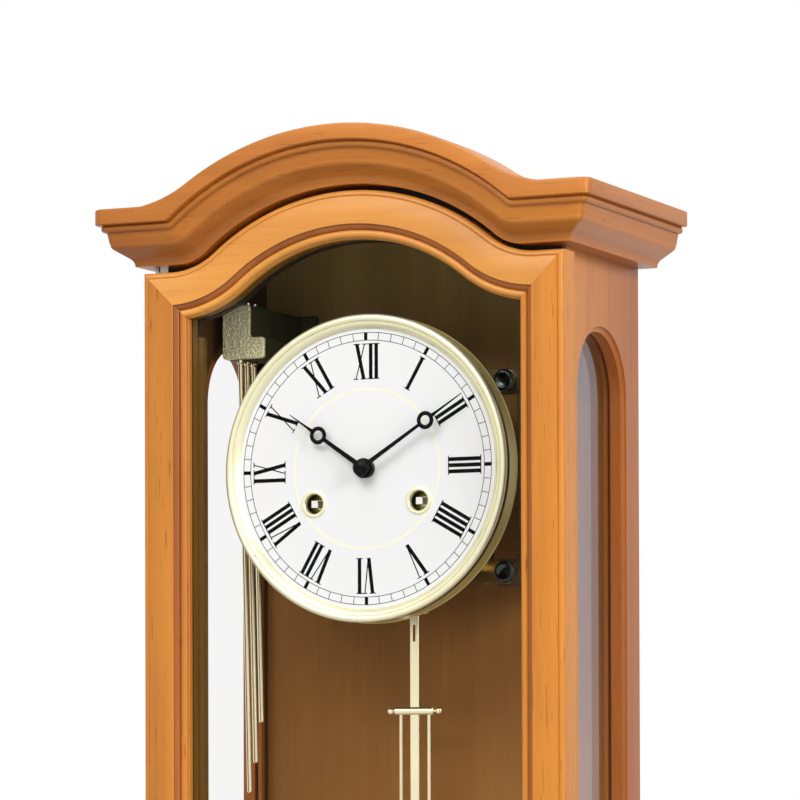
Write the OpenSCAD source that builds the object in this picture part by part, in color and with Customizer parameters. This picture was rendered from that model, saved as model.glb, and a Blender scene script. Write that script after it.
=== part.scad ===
// Regulator wall clock with an arched crown, a glazed door, side windows and a pendulum.
// Millimetres. X to the viewer's right, Y into the wall, Z up.
// The origin is the centre of the hanging eye, on the wall.

/* [Case] */
// Outer width of the case across its side boards
case_w = 224.4; // [218:0.2:232]
// Depth of the case from the wall to behind the door
case_d = 106.5; // [104:0.5:112]
// Thickness of the side boards
side_t = 12; // [10:0.5:14]
// Height of the hanging eye above the dial centre
eye_rise = 85; // [78:1:92]
// Depth of the underside of the base below the dial centre
base_drop = 426; // [405:1:500]
// Gap between the back panel and the wall
panel_set = 6.5; // [5:0.5:8]
// Thickness of the back panel
panel_t = 6; // [4:0.5:8]
// Thickness of the bottom board
floor_t = 12; // [9:0.5:16]
// Thickness of the boards behind the door's frame
front_board_t = 5; // [4:0.5:6]
// Width of the black dust strips
strip_w = 3; // [2:0.5:5]
// Depth of the black dust strips
strip_d = 4; // [3:0.5:6]

/* [Crown and base] */
// Height of the centre of the arch above the dial centre
arch_rise = 18.5; // [17:0.5:20]
// Radius of the top edge of the door's arch
arch_r = 123.4; // [120:0.2:126]
// Radius of the flare where the door's arch meets its level ends
flare_r = 40.6; // [36:0.2:44]
// Height of the door's level ends above the centre of the arch
door_level = 86.7; // [84:0.1:88]
// Gap between the door's arch and the crown
arch_gap = 2.9; // [2.5:0.1:3.5]
// Gap between the door's level ends and the crown or the base
level_gap = 3.6; // [3:0.1:4.5]
// Radius of the flare along the crown's lower edge
crown_flare = 22.92; // [21.6:0.01:26]
// Radius of the flare along the crown's top edge
crest_flare = 70; // [60:1:80]
// Rise of the crown's crest over the plain band height at its middle
crest_rise = 0.9; // [0:0.1:2]
// Distance that the foot of the mouldings stands out from the case
foot_out = 10.8; // [9:0.2:13]
// Distance that the mouldings stand out above their foot
mould_out = 17; // [16:0.1:19]
// Height of the hollow and shoulder at the foot of the mouldings
cyma_h = 11.2; // [11:0.1:12.5]
// Height of the plain fillet above the shoulder
fascia_h = 6.1; // [5:0.1:6.3]
// Height of the small bead above the fillet
bead_h = 3.5; // [2.5:0.1:3.6]
// Height of the band at the edge of the mouldings
band_h = 7.4; // [6:0.2:9]
// Thickness of the curved roof
roof_t = 4; // [3:0.5:6]
// Distance of the roof below the crown's crest
roof_drop = 1; // [0.6:0.1:2]

/* [Side windows] */
// Width of a side window
window_w = 63.4; // [50:0.2:66]
// Distance of the windows' middle from the wall
window_v = 52.5; // [50:0.5:54]
// Wood left above and below a window
window_margin = 38.3; // [34:0.5:60]
// Width of the glass rebate round a window
rebate = 4; // [3:0.5:6]
// Thickness of all the glass
glass_t = 2; // [1.5:0.5:2.5]
// Width of the moulded edge round a window
arris = 2.5; // [1.5:0.5:3]

/* [Door] */
// Thickness of the door
door_t = 15.6; // [14.8:0.1:16.5]
// Gap between the closed door and the case
door_gap = 0.4; // [0.3:0.1:0.6]
// Distance that the door stands out beyond the case's sides
door_over = 6.7; // [6.2:0.1:7.5]
// Width of the door's frame
frame_w = 24.9; // [24:0.1:27]
// Distance of the door's pivots from its outer edge
pivot_in = 3.4; // [3.2:0.1:4]
// Distance of the door's pivots behind its front
pivot_back = 10.5; // [10:0.1:11]
// Radius of the pivot pins
pivot_r = 1.3; // [1:0.05:1.4]

/* [Dial] */
// Outer radius of the bezel
bezel_r = 80; // [76:0.5:82]
// Radius of the dial seen inside the bezel
sight_r = 73.4; // [71:0.2:74.5]
// Distance of the dial's face from the wall
dial_v = 101.1; // [100:0.1:103]
// Thickness of the dial
dial_t = 1; // [0.6:0.1:1.5]
// Length of the bezel's drum behind the dial
drum_l = 12.6; // [8:0.2:14]
// Sideways distance of the winding holes from the dial centre
winding_x = 29.8; // [29:0.1:31]
// Distance of the winding holes below the dial centre
winding_drop = 17.5; // [17:0.1:18.5]
// Radius of the winding holes
winding_hole_r = 5.2; // [4.6:0.1:6]
// Outer radius of the winding holes' collars
collar_r = 7.2; // [6.6:0.1:8]
// Width across the flats of the winding squares
square_w = 3.6; // [3:0.1:4]

/* [Hands] */
// Length of the hour hand
hour_l = 51.2; // [46:0.2:56]
// Length of the minute hand
minute_l = 67.2; // [60:0.2:70]
// Distance of the hour hand's ring from the dial centre
hour_ring = 31.4; // [28:0.2:36]
// Distance of the minute hand's ring from the dial centre
minute_ring = 43; // [38:0.2:48]
// Outer radius of the hands' rings
ring_r = 4.2; // [3.4:0.1:5]
// Thickness of the hands
hand_t = 0.8; // [0.5:0.1:1]
// Minutes past ten that the hands show at rest
shown_minute = 9.55; // [9:0.05:10.5]

/* [Movement] */
// Half-width of the movement plates
plate_x = 52; // [52:0.5:54]
// Height of the movement plates above the dial centre
plate_up = 50; // [49:0.5:52]
// Depth of the movement plates below the dial centre
plate_down = 55; // [52:0.5:56]
// Thickness of the movement plates
plate_t = 1.5; // [1:0.1:2]
// Distance of the front plate's face from the wall
front_plate_v = 94; // [93.6:0.1:94.4]
// Distance of the back plate's rear face from the wall
back_plate_v = 54; // [53:0.1:55]
// Radius of the spring barrels
barrel_r = 19; // [16:0.5:20]
// Radius of the arbors' pivots in the plates
journal_r = 0.9; // [0.7:0.05:1]
// Running clearance of every shaft in its hole
run_gap = 0.05; // [0.03:0.01:0.08]
// Sideways distance of the thumb screws from the middle
thumb_x = 60; // [59:0.5:62]
// Radius of the thumb screws' heads
thumb_r = 5.9; // [5:0.1:7]

/* [Gong] */
// Sideways distance of the gong rods from the middle
gong_x = 84; // [83:0.5:86]
// Radius of the gong rods
gong_r = 1.4; // [1:0.1:1.6]
// Spacing of the gong rods
gong_pitch = 8; // [7:0.2:8.6]
// Distance of the foremost gong rod from the wall
gong_v = 77.5; // [76:0.5:78.5]
// Backward lean of the gong rods in degrees
gong_lean = 2.4; // [0:0.1:3]
// Length of the longest gong rod below its block
gong_l = 231; // [180:1:260]

/* [Pendulum] */
// Height of the pendulum's axis above the dial centre
pendulum_rise = 39; // [38:0.5:41]
// Distance of the pendulum's plane from the wall
pendulum_v = 40; // [39:0.5:41]
// Length from the pendulum's axis to the middle of the bob
pendulum_l = 279; // [240:1:300]
// Radius of the bob
bob_r = 42; // [34:1:46]
// Thickness of the bob at its middle
bob_t = 15; // [10:0.5:18]

/* [Hanging] */
// Radius of the hole in the hanger plate
eye_r = 4; // [3.5:0.1:5]
// Thickness of the hanger plate
hanger_t = 1.5; // [1:0.1:2]

/* [Hidden] */
$fn = 96;
// Steps along each round and each hollow of an arch drawn as an outline
arch_steps = 36;
// Height of the band's foot that is swept with the moulding below it
band_lap = 0.5;

wood = "#DE964C";
dark_wood = "#2E2218";
brass = "#E6DCA8";
steel = "#8C8F94";
glass = "#C8D4D8";

// Frame of the case, measured from its middle and out from the wall
half_w = case_w / 2;
inner_w = half_w - side_t;
door_back = case_d + door_gap;
front_v = door_back + door_t;
panel_v = panel_set + panel_t;
board_v = case_d - front_board_t;

// Door and opening
door_half = half_w + door_over;
open_half = door_half - frame_w;
open_r = arch_r - frame_w;
open_flare = flare_r + frame_w;
open_level = door_level - frame_w;
level_z = arch_rise + door_level;
lip_v = front_v - 7.5;
glass_v = lip_v - glass_t - 0.1;
glass_in = 4.7;
round_r = 2.5;
pivot_x = door_half - pivot_in;
pivot_v = front_v - pivot_back;
bush_r = 2.4;
bush_l = 8;
magnet_r = 4;
magnet_l = 8;
magnet_z = -150;
strike_t = 1;
strike_r = magnet_r + 2;
seat_gap = 0.05;

// Section of the door's frame: distance out from the opening, and from the wall
frame_line = [[5, door_back], [frame_w, door_back], [frame_w, front_v - 2.4],
    [frame_w - 0.35, front_v - 1.2], [frame_w - 1.2, front_v - 0.35], [frame_w - 2.1, front_v],
    [frame_w - 2.5, front_v - 0.6], [frame_w - 2.9, front_v], [7.4, front_v],
    [7.4, front_v - 0.8], [6.4, front_v - 1], [5.2, front_v - 1.7], [4.5, front_v - 2.7],
    [4.1, front_v - 2.2], [3.3, front_v - 1.6], [2.3, front_v - 1.5], [1.3, front_v - 2],
    [0.6, front_v - 3], [0.5, front_v - 4.2], [0, front_v - 4.4], [0, lip_v], [5, lip_v]];

// Crown. Its roof lies between the bands of its side mouldings, which keep this edge
band_edge = 8;
mould_h = cyma_h + fascia_h + bead_h;
crown_r = arch_r + arch_gap;
crown_level = door_level + level_gap;
foot_x = half_w + foot_out;
foot_v = front_v + 0.5;
mitre_shift = foot_x - foot_v;
crest_r = crown_r + mould_h + band_h + crest_rise;
crest_level = crown_level + mould_h + band_h;
roof_top_r = crest_r - roof_drop;
roof_under_r = roof_top_r - roof_t;
roof_under_level = crest_level - roof_drop - roof_t;
roof_under_flare = crest_flare + roof_drop + roof_t;
roof_half = foot_x + mould_out - band_edge;
header_z = level_z - frame_w - 8;

// Moulding line of the crown and base: height and distance out from the foot
cove_r = 5;
shoulder_r = 3;
quirk = 0.75;
cyma_out = mould_out - 6.4;
crown_line = concat(
    [for (t = [0:12:60]) [cove_r * sin(t), cove_r * (1 - cos(t))]],
    [for (t = [60:-12:0]) [cyma_h - shoulder_r * sin(t), cyma_out - shoulder_r * (1 - cos(t))]],
    [[cyma_h, cyma_out + quirk], [cyma_h + fascia_h, cyma_out + 2 * quirk]],
    [[cyma_h + fascia_h, cyma_out + 4 * quirk], [cyma_h + fascia_h + 0.4 * bead_h, mould_out - 2.8],
        [mould_h, mould_out - 2.5]]);

// Base
base_h = mould_h + band_h;
base_top = base_h - base_drop;
door_bottom = base_top + level_gap;
open_bottom = door_bottom + frame_w;
floor_top = base_top + level_gap + 2;
side_foot = 8 - base_drop;

// Side windows
window_r = window_w / 2;
window_top = arch_rise + crown_level - window_margin - window_r;
window_low = base_top + window_margin + window_r;
side_glass_x = inner_w + 2;

// Hanging rail, its steel plate and the wood screws
rail_low = 55;
rail_high = 112;
hanger_w = 46;
hanger_h = 22;
hanger_screw_x = 17;
screw_r = 1.5;
screw_head = 1.2;
bracket_screw_z = [-38, 32];

// Dial and movement
dial_back = dial_v - dial_t;
front_plate_back = front_plate_v - plate_t;
back_plate_front = back_plate_v + plate_t;
minute_turn = shown_minute * 6;
hour_turn = 300 + shown_minute / 2;
hour_v = dial_v + 3.3;
minute_v = dial_v + 5.7;
nut_v = minute_v + hand_t;
pipe_r = 3;
cannon_r = 2;
centre_r = 1;
stud_r = 0.6;
dial_foot_r = 1.6;

// Plates, brackets and their screws
arbor_end = 0.4;
post_w = 7;
pillar_r = 3;
pillar_in = 6;
thumb_z = [-53, 47];
thumb_shank = 2;
bracket_t = 1.5;
bracket_w = 12;
bracket_x = thumb_x + 5;
bracket_screw_x = bracket_x + 7.5;
lug_r = 6;

// Spring barrels and winding arbors
winder_r = 2.6;
drum_v0 = 58;
drum_v1 = 79.5;
drum_wall = 1.2;

// Gear train. Teeth and modules of each pair, wheel first
great_n = 84;
great_m = 0.6;
second_pinion_n = 12;
second_n = 64;
second_m = 0.56;
centre_pinion_n = 8;
centre_n = 72;
centre_m = 0.45;
third_pinion_n = 8;
third_n = 75;
third_m = 0.4;
escape_pinion_n = 6;
escape_n = 30;
escape_r = 11;
pin_n = 64;
pin_m = 0.4;
cannon_n = 12;
minute_n = 36;
motion_m = 0.5;
minute_pinion_n = 10;
hour_n = 40;

// Centre distance of a pair, and the point that lies at two distances from two others
function reach(m, n, p) = m * (n + p) / 2;
function meet(a, b, da, db) =
    let (d = norm(b - a), u = (b - a) / d, s = (da * da - db * db + d * d) / (2 * d))
    a + s * u + sqrt(da * da - s * s) * [-u[1], u[0]];
// Turn of a gear at angle phi from its partner, so that its gap faces the partner's tooth
function mesh_turn(phi, turn, n, p) = phi + 180 - 180 / p + (phi - turn) * n / p;
function bearing(a, b) = atan2(b[1] - a[1], b[0] - a[0]);

centre_at = [0, 0];
going_at = [winding_x, -winding_drop];
strike_at = [-winding_x, -winding_drop];
great_reach = reach(great_m, great_n, second_pinion_n);
motion_reach = reach(motion_m, minute_n, cannon_n);
hour_m = 2 * motion_reach / (hour_n + minute_pinion_n);
second_at = meet(going_at, centre_at, great_reach, reach(second_m, second_n, centre_pinion_n));
escape_at = [0, pendulum_rise - 13.9];
third_at = meet(centre_at, escape_at, reach(centre_m, centre_n, third_pinion_n),
    reach(third_m, third_n, escape_pinion_n));
minute_at = [0, -motion_reach];
pin_at = strike_at + great_reach * [cos(105), sin(105)];
hammer_at = [-plate_x + 2, 1];
pallet_at = [0, pendulum_rise];
plate_pivots = [second_at, third_at, escape_at, pin_at, hammer_at];
crutch_r = 1.2;
crutch_low = -32;
hammer_rise = 31;
hammer_x = gong_x - gong_r - 2;

// Layers of the train, measured from the wall
great_v = 81;
second_v = 85.5;
centre_v = 89;
third_v = 66;
escape_v = 70;
wheel_t = 1.5;
leaf_over = 0.7;
motion_v = 95;
hour_wheel_v = 97.3;

// Gong
gong_top = 91.7;
gong_step = 74;
gong_foot = 62.4;
gong_front = gong_v + 3.7;
gong_block_w = 16.4;
gong_tray_w = 25.1;
gong_left = -gong_x - 9.3;
gong_cut = 13;

// Pendulum, measured from the dial centre
bob_z = pendulum_rise - pendulum_l;
rod_top = -70;
yoke_z = -124.8;
low_yoke_z = bob_z + bob_r + 9;
yoke_x = 8.1;
nut_z = bob_z - bob_r - 10;
pendulum_rod_w = 5.5;
pendulum_rod_t = 1.6;
slot_low = -87.5;
slot_l = 8.8;
side_rod_r = 0.9;
thread_r = 1.5;

// Placing and sweeping
module place() {
    translate([0, 0, -eye_rise]) children();
}

// An outline in X and Z, made solid from v0 to v1 off the wall
module slab(v0, v1) {
    rotate([90, 0, 0]) translate([0, 0, v0]) linear_extrude(v1 - v0) children();
}

// A round bar along Y
module bar(at, v0, v1, r) {
    slab(v0, v1) translate(at) circle(r);
}

// A profile of radius and distance from the wall, turned about a line along Y
module turned(at) {
    translate([at[0], 0, at[1]]) rotate([90, 0, 0]) rotate_extrude() children();
}

// A profile of height and distance from the wall, run along X
module run_x(x0, x1) {
    translate([x0, 0, 0]) rotate([180, -90, 0]) linear_extrude(x1 - x0) children();
}

// An outline in distance from the wall and Z, made solid from x0 to x1
module panel_x(x0, x1) {
    translate([x0, 0, 0]) mirror([0, 1, 0]) rotate([90, 0, 90]) linear_extrude(x1 - x0) children();
}

module both_sides() {
    children();
    mirror([1, 0, 0]) children();
}

// The arch: a round middle, a hollow flare each side and level ends
function flare_x(r, flare, level) = sqrt(pow(r + flare, 2) - pow(level + flare, 2));

// One side of an arch: points along its round, then down its hollow to the level end
function arch_side(r, flare, level) = let(
    fx = flare_x(r, flare, level),
    turn = atan2(fx, level + flare) / arch_steps)
    concat(
        [for (i = [0:arch_steps]) [r * sin(i * turn), r * cos(i * turn)]],
        [for (i = [arch_steps - 1:-1:0])
            [fx - flare * sin(i * turn), level + flare - flare * cos(i * turn)]]);

// The whole area below an arch, between x = -half and half and above low
module under_arch(r, flare, level, half, low) {
    side = arch_side(r, flare, level);
    other = [for (i = [len(side) - 1:-1:1]) [-side[i][0], side[i][1]]];
    base = low - arch_rise;
    reach = max(half, flare_x(r, flare, level)) + 1;
    translate([0, arch_rise]) intersection() {
        polygon(concat([[-reach, base], [-reach, level]], other, side,
            [[reach, level], [reach, base]]));
        translate([-half, base]) square([2 * half, r - base + 1]);
    }
}

// Sweeps a profile of offset and distance from the wall along an arch to x = half.
// Each round is a whole ring cut by the planes where it meets its neighbours
module arch_run(profile, r, flare, level, half) {
    fx = flare_x(r, flare, level);
    fz = arch_rise + level + flare;
    far = 2 * r;
    intersection() {
        turned([0, arch_rise]) polygon([for (q = profile) [r + q[0], q[1]]]);
        slab(0, far) polygon([[0, arch_rise], [fx, fz], [fx, far], [-fx, far], [-fx, fz]]);
    }
    both_sides() {
        intersection() {
            turned([fx, fz]) polygon([for (q = profile) [flare - q[0], q[1]]]);
            slab(0, far) polygon([[0, arch_rise], [0, -far], [fx, -far], [fx, fz]]);
        }
        if (half > fx) run_x(fx, half)
            polygon([for (q = profile) [arch_rise + level + q[0], q[1]]]);
    }
}

module crown_front() {
    solid_line = concat([[0, case_d]], [for (q = crown_line) [q[0], foot_v + q[1]]],
        [[mould_h, foot_v + mould_out], [mould_h + band_lap, foot_v + mould_out],
            [mould_h + band_lap, case_d]]);
    edge = foot_x + mould_out + 1;
    lap_h = mould_h + band_lap / 2;
    color(wood) place() intersection() {
        union() {
            arch_run(solid_line, crown_r, crown_flare, crown_level, edge);
            slab(case_d, foot_v + mould_out) difference() {
                under_arch(crest_r, crest_flare, crest_level, foot_x + mould_out, level_z);
                under_arch(crown_r + lap_h, crown_flare - lap_h, crown_level + lap_h, edge,
                    level_z - 1);
            }
        }
        linear_extrude(600, center = true) polygon([
            [-edge, mitre_shift - edge], [edge, mitre_shift - edge],
            [half_w, mitre_shift - half_w], [half_w, -case_d], [-half_w, -case_d],
            [-half_w, mitre_shift - half_w]]);
    }
}

// A moulding along the case's right side, from the wall to its mitre at the front corner
module side_moulding(flip) {
    edge = foot_x + mould_out + 1;
    low = flip ? base_top : arch_rise + crown_level;
    sign = flip ? -1 : 1;
    line = concat([[half_w, low]], [for (q = crown_line) [foot_x + q[1], low + sign * q[0]]],
        [[foot_x + mould_out, low + sign * mould_h], [foot_x + mould_out, low + sign * base_h],
            [half_w, low + sign * base_h]]);
    intersection() {
        slab(0, foot_v + mould_out) polygon(line);
        translate([0, 0, -2 * base_drop]) linear_extrude(4 * base_drop) polygon([
            [half_w, 1], [edge, 1], [edge, mitre_shift - edge], [half_w, mitre_shift - half_w]]);
    }
}

module crown_right() {
    color(wood) place() difference() {
        side_moulding(false);
        roof_space();
    }
}

module crown_left() {
    mirror([1, 0, 0]) crown_right();
}

// The room that the curved roof takes above the side mouldings
module roof_space() {
    slab(-1, case_d) difference() {
        translate([0, arch_rise + crown_level]) square([roof_half, crest_r]);
        under_arch(roof_under_r, roof_under_flare, roof_under_level, 2 * foot_x, -1);
    }
}

module roof() {
    color("#E8D8BC") place() slab(0, case_d) intersection() {
        difference() {
            under_arch(roof_top_r, crest_flare + roof_drop, crest_level - roof_drop,
                roof_half, level_z);
            under_arch(roof_under_r, roof_under_flare, roof_under_level, foot_x + 30, 0);
        }
        translate([-roof_half, 0]) square([2 * roof_half, crest_r * 2]);
    }
}

module base_front() {
    line = concat([[base_top, case_d]], [for (q = crown_line) [base_top - q[0], foot_v + q[1]]],
        [[base_top - mould_h, foot_v + mould_out], [-base_drop, foot_v + mould_out],
            [-base_drop, case_d]]);
    edge = foot_x + mould_out + 1;
    color(wood) place() intersection() {
        run_x(-edge, edge) polygon(line);
        translate([0, 0, -2 * base_drop]) linear_extrude(4 * base_drop) polygon([
            [-edge, mitre_shift - edge], [edge, mitre_shift - edge],
            [half_w, mitre_shift - half_w], [half_w, -case_d], [-half_w, -case_d],
            [-half_w, mitre_shift - half_w]]);
    }
}

module base_right() {
    color(wood) place() side_moulding(true);
}

module base_left() {
    mirror([1, 0, 0]) base_right();
}

// Outline of a side window in distance from the wall and height, grown by a margin
module window_outline(grow) {
    translate([window_v, window_top]) circle(window_r + grow);
    translate([window_v, window_low]) circle(window_r + grow);
    translate([window_v - window_r - grow, window_low])
        square([2 * (window_r + grow), window_top - window_low]);
}

module window_arris() {
    cut = [[0, 0], [arris, 0], [arris * 0.92, -arris * 0.38], [arris * 0.71, -arris * 0.71],
        [arris * 0.38, -arris * 0.92], [0, -arris]];
    for (z = [window_top, window_low])
        translate([half_w, -window_v, z]) rotate([0, 90, 0]) rotate_extrude()
            polygon([for (q = cut) [window_r - 0.5 * (1 - sign(q[0])) + q[0], q[1] + 0.01]]);
    for (s = [-1, 1])
        translate([half_w, -window_v, window_low]) linear_extrude(window_top - window_low)
            polygon([for (q = cut)
                [q[1] + 0.01, s * (window_r - 0.5 * (1 - sign(q[0])) + q[0])]]);
}

module side_board() {
    difference() {
        slab(0, case_d) intersection() {
            under_arch(roof_under_r, roof_under_flare, roof_under_level, half_w, side_foot);
            translate([inner_w, side_foot]) square([side_t, 2 * base_drop]);
        }
        slab(board_v, case_d + 1) translate([inner_w - 1, header_z])
            square([side_t + 2, base_drop]);
        panel_x(inner_w - 1, half_w + 1) window_outline(0);
        panel_x(inner_w - 1, side_glass_x + glass_t) window_outline(rebate);
        window_arris();
    }
}

module side_right() {
    color(wood) place() difference() {
        side_board();
        bar([half_w - side_t / 2, magnet_z], case_d - magnet_l, case_d + 1, magnet_r);
    }
}

module side_left() {
    color(wood) place() mirror([1, 0, 0]) side_board();
}

module side_glass() {
    color(glass, 0.4) place() both_sides()
        panel_x(side_glass_x, side_glass_x + glass_t) window_outline(rebate - 0.3);
}

module side_glass_beads() {
    color(dark_wood) place() both_sides() panel_x(inner_w, side_glass_x) difference() {
        window_outline(rebate - 0.1);
        window_outline(0.2);
    }
}

// Inside of the case
module back_panel() {
    color("#8A5E34") place() slab(panel_set, panel_v) intersection() {
        under_arch(roof_under_r, roof_under_flare, roof_under_level, inner_w, floor_top);
        translate([-inner_w, floor_top]) square([2 * inner_w, 2 * base_drop]);
    }
}

module hanging_rail() {
    color("#C89A68") place() difference() {
        slab(0, panel_set) difference() {
            translate([-inner_w, rail_low]) square([2 * inner_w, rail_high - rail_low]);
            translate([0, eye_rise]) circle(eye_r + 4.5);
        }
        slab(-1, hanger_t) translate([0, eye_rise]) hanger_outline(0.2);
    }
}

module bottom_board() {
    color(wood) place() slab(0, case_d)
        translate([-inner_w, floor_top - floor_t]) square([2 * inner_w, floor_t]);
}

module head_board() {
    color(dark_wood) place() slab(board_v, case_d) difference() {
        under_arch(roof_under_r, roof_under_flare, roof_under_level, half_w, header_z);
        under_arch(open_r, open_flare, open_level, open_half, header_z - 1);
    }
}

module face_strips() {
    color(wood) place() slab(board_v, case_d) both_sides()
        translate([open_half, floor_top]) square([inner_w - open_half, header_z - floor_top]);
}

module dust_strips() {
    color("#15120F") place() slab(board_v - strip_d, board_v) both_sides()
        translate([open_half, floor_top]) square([strip_w, header_z - floor_top]);
}

module hanger_outline(grow) {
    for (s = [-1, 1]) translate([s * (hanger_w - hanger_h) / 2, 0]) circle(hanger_h / 2 + grow);
    square([hanger_w - hanger_h, hanger_h + 2 * grow], center = true);
}

module hanger_plate() {
    color(steel) difference() {
        slab(0, hanger_t) hanger_outline(0);
        bar([0, 0], -1, hanger_t + 1, eye_r);
        for (s = [-1, 1]) {
            bar([s * hanger_screw_x, 0], -1, hanger_t + 1, screw_r + 0.1);
            bar([s * hanger_screw_x, 0], -1, screw_head + 0.1, 2 * screw_r + 0.1);
        }
    }
}

// Wood screws of the hanger plate and the movement brackets
module wood_screws() {
    color(brass) place() both_sides() {
        bar([hanger_screw_x, eye_rise], 0.1, screw_head + 0.1, 2 * screw_r);
        bar([hanger_screw_x, eye_rise], screw_head + 0.1, panel_set - 0.4, screw_r);
        for (z = bracket_screw_z) {
            bar([bracket_screw_x, z], panel_v + bracket_t, panel_v + bracket_t + screw_head, 2 * screw_r);
            bar([bracket_screw_x, z], panel_set + 0.5, panel_v + bracket_t, screw_r);
        }
    }
}

// Door
module door_magnet() {
    color(steel) place()
        bar([half_w - side_t / 2, magnet_z], case_d - magnet_l, case_d, magnet_r);
}

module door_strike() {
    color(steel) place()
        bar([half_w - side_t / 2, magnet_z], door_back, door_back + strike_t, strike_r);
}

// Keeps what lies above or below the mitres at the door's corners
module mitre_zone(above) {
    top = level_z - door_half;
    slab(door_back - 1, front_v + 1)
        if (above) polygon([[-door_half - 1, level_z + 1], [-open_half + 9, top + open_half - 9],
            [open_half - 9, top + open_half - 9], [door_half + 1, level_z + 1],
            [door_half + 1, level_z + 80], [-door_half - 1, level_z + 80]]);
        else polygon([[door_half + 1, level_z + 1], [open_half - 1, top + open_half - 1],
            [open_half - 1, door_bottom + frame_w + 1], [door_half + 1, door_bottom - 1]]);
}

module door_stile() {
    intersection() {
        translate([0, 0, door_bottom]) linear_extrude(level_z - door_bottom)
            polygon([for (q = frame_line) [open_half + q[0], -q[1]]]);
        mitre_zone(false);
    }
}

module door_right_stile() {
    color(wood) place() difference() {
        door_stile();
        bar([half_w - side_t / 2, magnet_z], door_back - 1, door_back + strike_t, strike_r + seat_gap);
    }
}

module door_left_stile() {
    color(wood) place() mirror([1, 0, 0]) difference() {
        door_stile();
        translate([door_half - round_r, -door_back - round_r, door_bottom - 1])
            linear_extrude(level_z - door_bottom + 2) difference() {
                square(2 * round_r);
                circle(round_r);
            }
        translate([pivot_x, -pivot_v, door_bottom - 1]) cylinder(r = bush_r, h = bush_l + 1);
        translate([pivot_x, -pivot_v, level_z - bush_l]) cylinder(r = bush_r, h = bush_l + 1);
    }
}

module door_top_rail() {
    color(wood) place() difference() {
        intersection() {
            arch_run(frame_line, open_r, open_flare, open_level, door_half);
            mitre_zone(true);
        }
        translate([-door_half + round_r, -door_back - round_r, level_z - frame_w])
            linear_extrude(2 * frame_w) difference() {
                translate([-2 * round_r, 0]) square(2 * round_r);
                circle(round_r);
            }
        translate([-pivot_x, -pivot_v, level_z - bush_l]) cylinder(r = bush_r, h = bush_l + 1);
    }
}

module door_bottom_rail() {
    color(wood) place() difference() {
        intersection() {
            run_x(-door_half, door_half)
                polygon([for (q = frame_line) [open_bottom - q[0], q[1]]]);
            slab(door_back - 1, front_v + 1) polygon([[-door_half - 1, door_bottom - 1],
                [door_half + 1, door_bottom - 1], [open_half - 1, open_bottom + 1],
                [1 - open_half, open_bottom + 1]]);
        }
        translate([-door_half + round_r, -door_back - round_r, door_bottom - 1])
            linear_extrude(2 * frame_w) difference() {
                translate([-2 * round_r, 0]) square(2 * round_r);
                circle(round_r);
            }
        translate([-pivot_x, -pivot_v, door_bottom - 1]) cylinder(r = bush_r, h = bush_l + 1);
    }
}

// Outline of the door's opening, grown by a margin
module opening_outline(grow) {
    under_arch(open_r + grow, open_flare - grow, open_level + grow, open_half + grow,
        open_bottom - grow);
}

module door_glass() {
    color(glass, 0.3) place() slab(glass_v, glass_v + glass_t) opening_outline(glass_in);
}

module door_glass_bead() {
    color(wood) place() slab(door_back + 0.2, glass_v) difference() {
        opening_outline(glass_in);
        opening_outline(0.4);
    }
}

module door_bushes() {
    color(brass) place() for (z = [door_bottom, level_z - bush_l])
        translate([-pivot_x, -pivot_v, z]) difference() {
            cylinder(r = bush_r, h = bush_l);
            translate([0, 0, -1]) cylinder(r = pivot_r + run_gap, h = bush_l + 2);
        }
}

module door_pivots() {
    color(steel) place() {
        for (z = [base_top, level_z - bush_l + 1])
            translate([-pivot_x, -pivot_v, z])
                cylinder(r = pivot_r, h = level_gap + bush_l - 1);
    }
}

// Dial
module dial_plate() {
    color("#EEEEEE") place() {
        slab(dial_back, dial_v) difference() {
            circle(bezel_r - 1);
            circle(5);
            for (s = [-1, 1]) translate([s * winding_x, -winding_drop]) circle(winding_hole_r + 1);
        }
        for (a = [35, 145, 215, 325])
            bar([44 * cos(a), 44 * sin(a)], front_plate_v, dial_back, dial_foot_r);
    }
}

module bezel() {
    rim = bezel_r - sight_r;
    color(brass) place() turned([0, 0]) polygon([
        [sight_r, dial_v], [sight_r + 0.1 * rim, dial_v + 3.4], [sight_r + 0.25 * rim, dial_v + 5.5],
        [sight_r + 0.34 * rim, dial_v + 5.7], [sight_r + 0.38 * rim, dial_v + 7.4],
        [sight_r + 0.5 * rim, dial_v + 8.7], [sight_r + 0.65 * rim, dial_v + 9.2],
        [sight_r + 0.8 * rim, dial_v + 9], [sight_r + 0.93 * rim, dial_v + 8.1],
        [bezel_r, dial_v + 6.6], [bezel_r, dial_v - drum_l], [bezel_r - 0.9, dial_v - drum_l],
        [bezel_r - 0.9, dial_v]]);
}

module winding_collars() {
    color(brass) place() both_sides() turned([winding_x, -winding_drop]) polygon([
        [winding_hole_r, dial_back - 1.5], [winding_hole_r + 0.9, dial_back - 1.5],
        [winding_hole_r + 0.9, dial_v], [collar_r, dial_v], [collar_r - 0.3, dial_v + 0.5],
        [collar_r - 1, dial_v + 0.8], [winding_hole_r, dial_v + 0.4]]);
}

// A hand with an open ring near its tip, pointing up
module hand_outline(hub_r, ring_at, length, stem) {
    difference() {
        union() {
            circle(hub_r);
            polygon([[-stem, 0], [stem, 0], [stem * 0.55, ring_at - ring_r + 0.6],
                [-stem * 0.55, ring_at - ring_r + 0.6]]);
            translate([0, ring_at]) circle(ring_r);
            polygon([[-ring_r * 0.42, ring_at + ring_r * 0.85], [ring_r * 0.42, ring_at + ring_r * 0.85],
                [0.75, ring_at + ring_r + 2.6], [0.25, length], [-0.25, length],
                [-0.75, ring_at + ring_r + 2.6]]);
        }
        translate([0, ring_at]) circle(ring_r - 1.5);
    }
}

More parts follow.
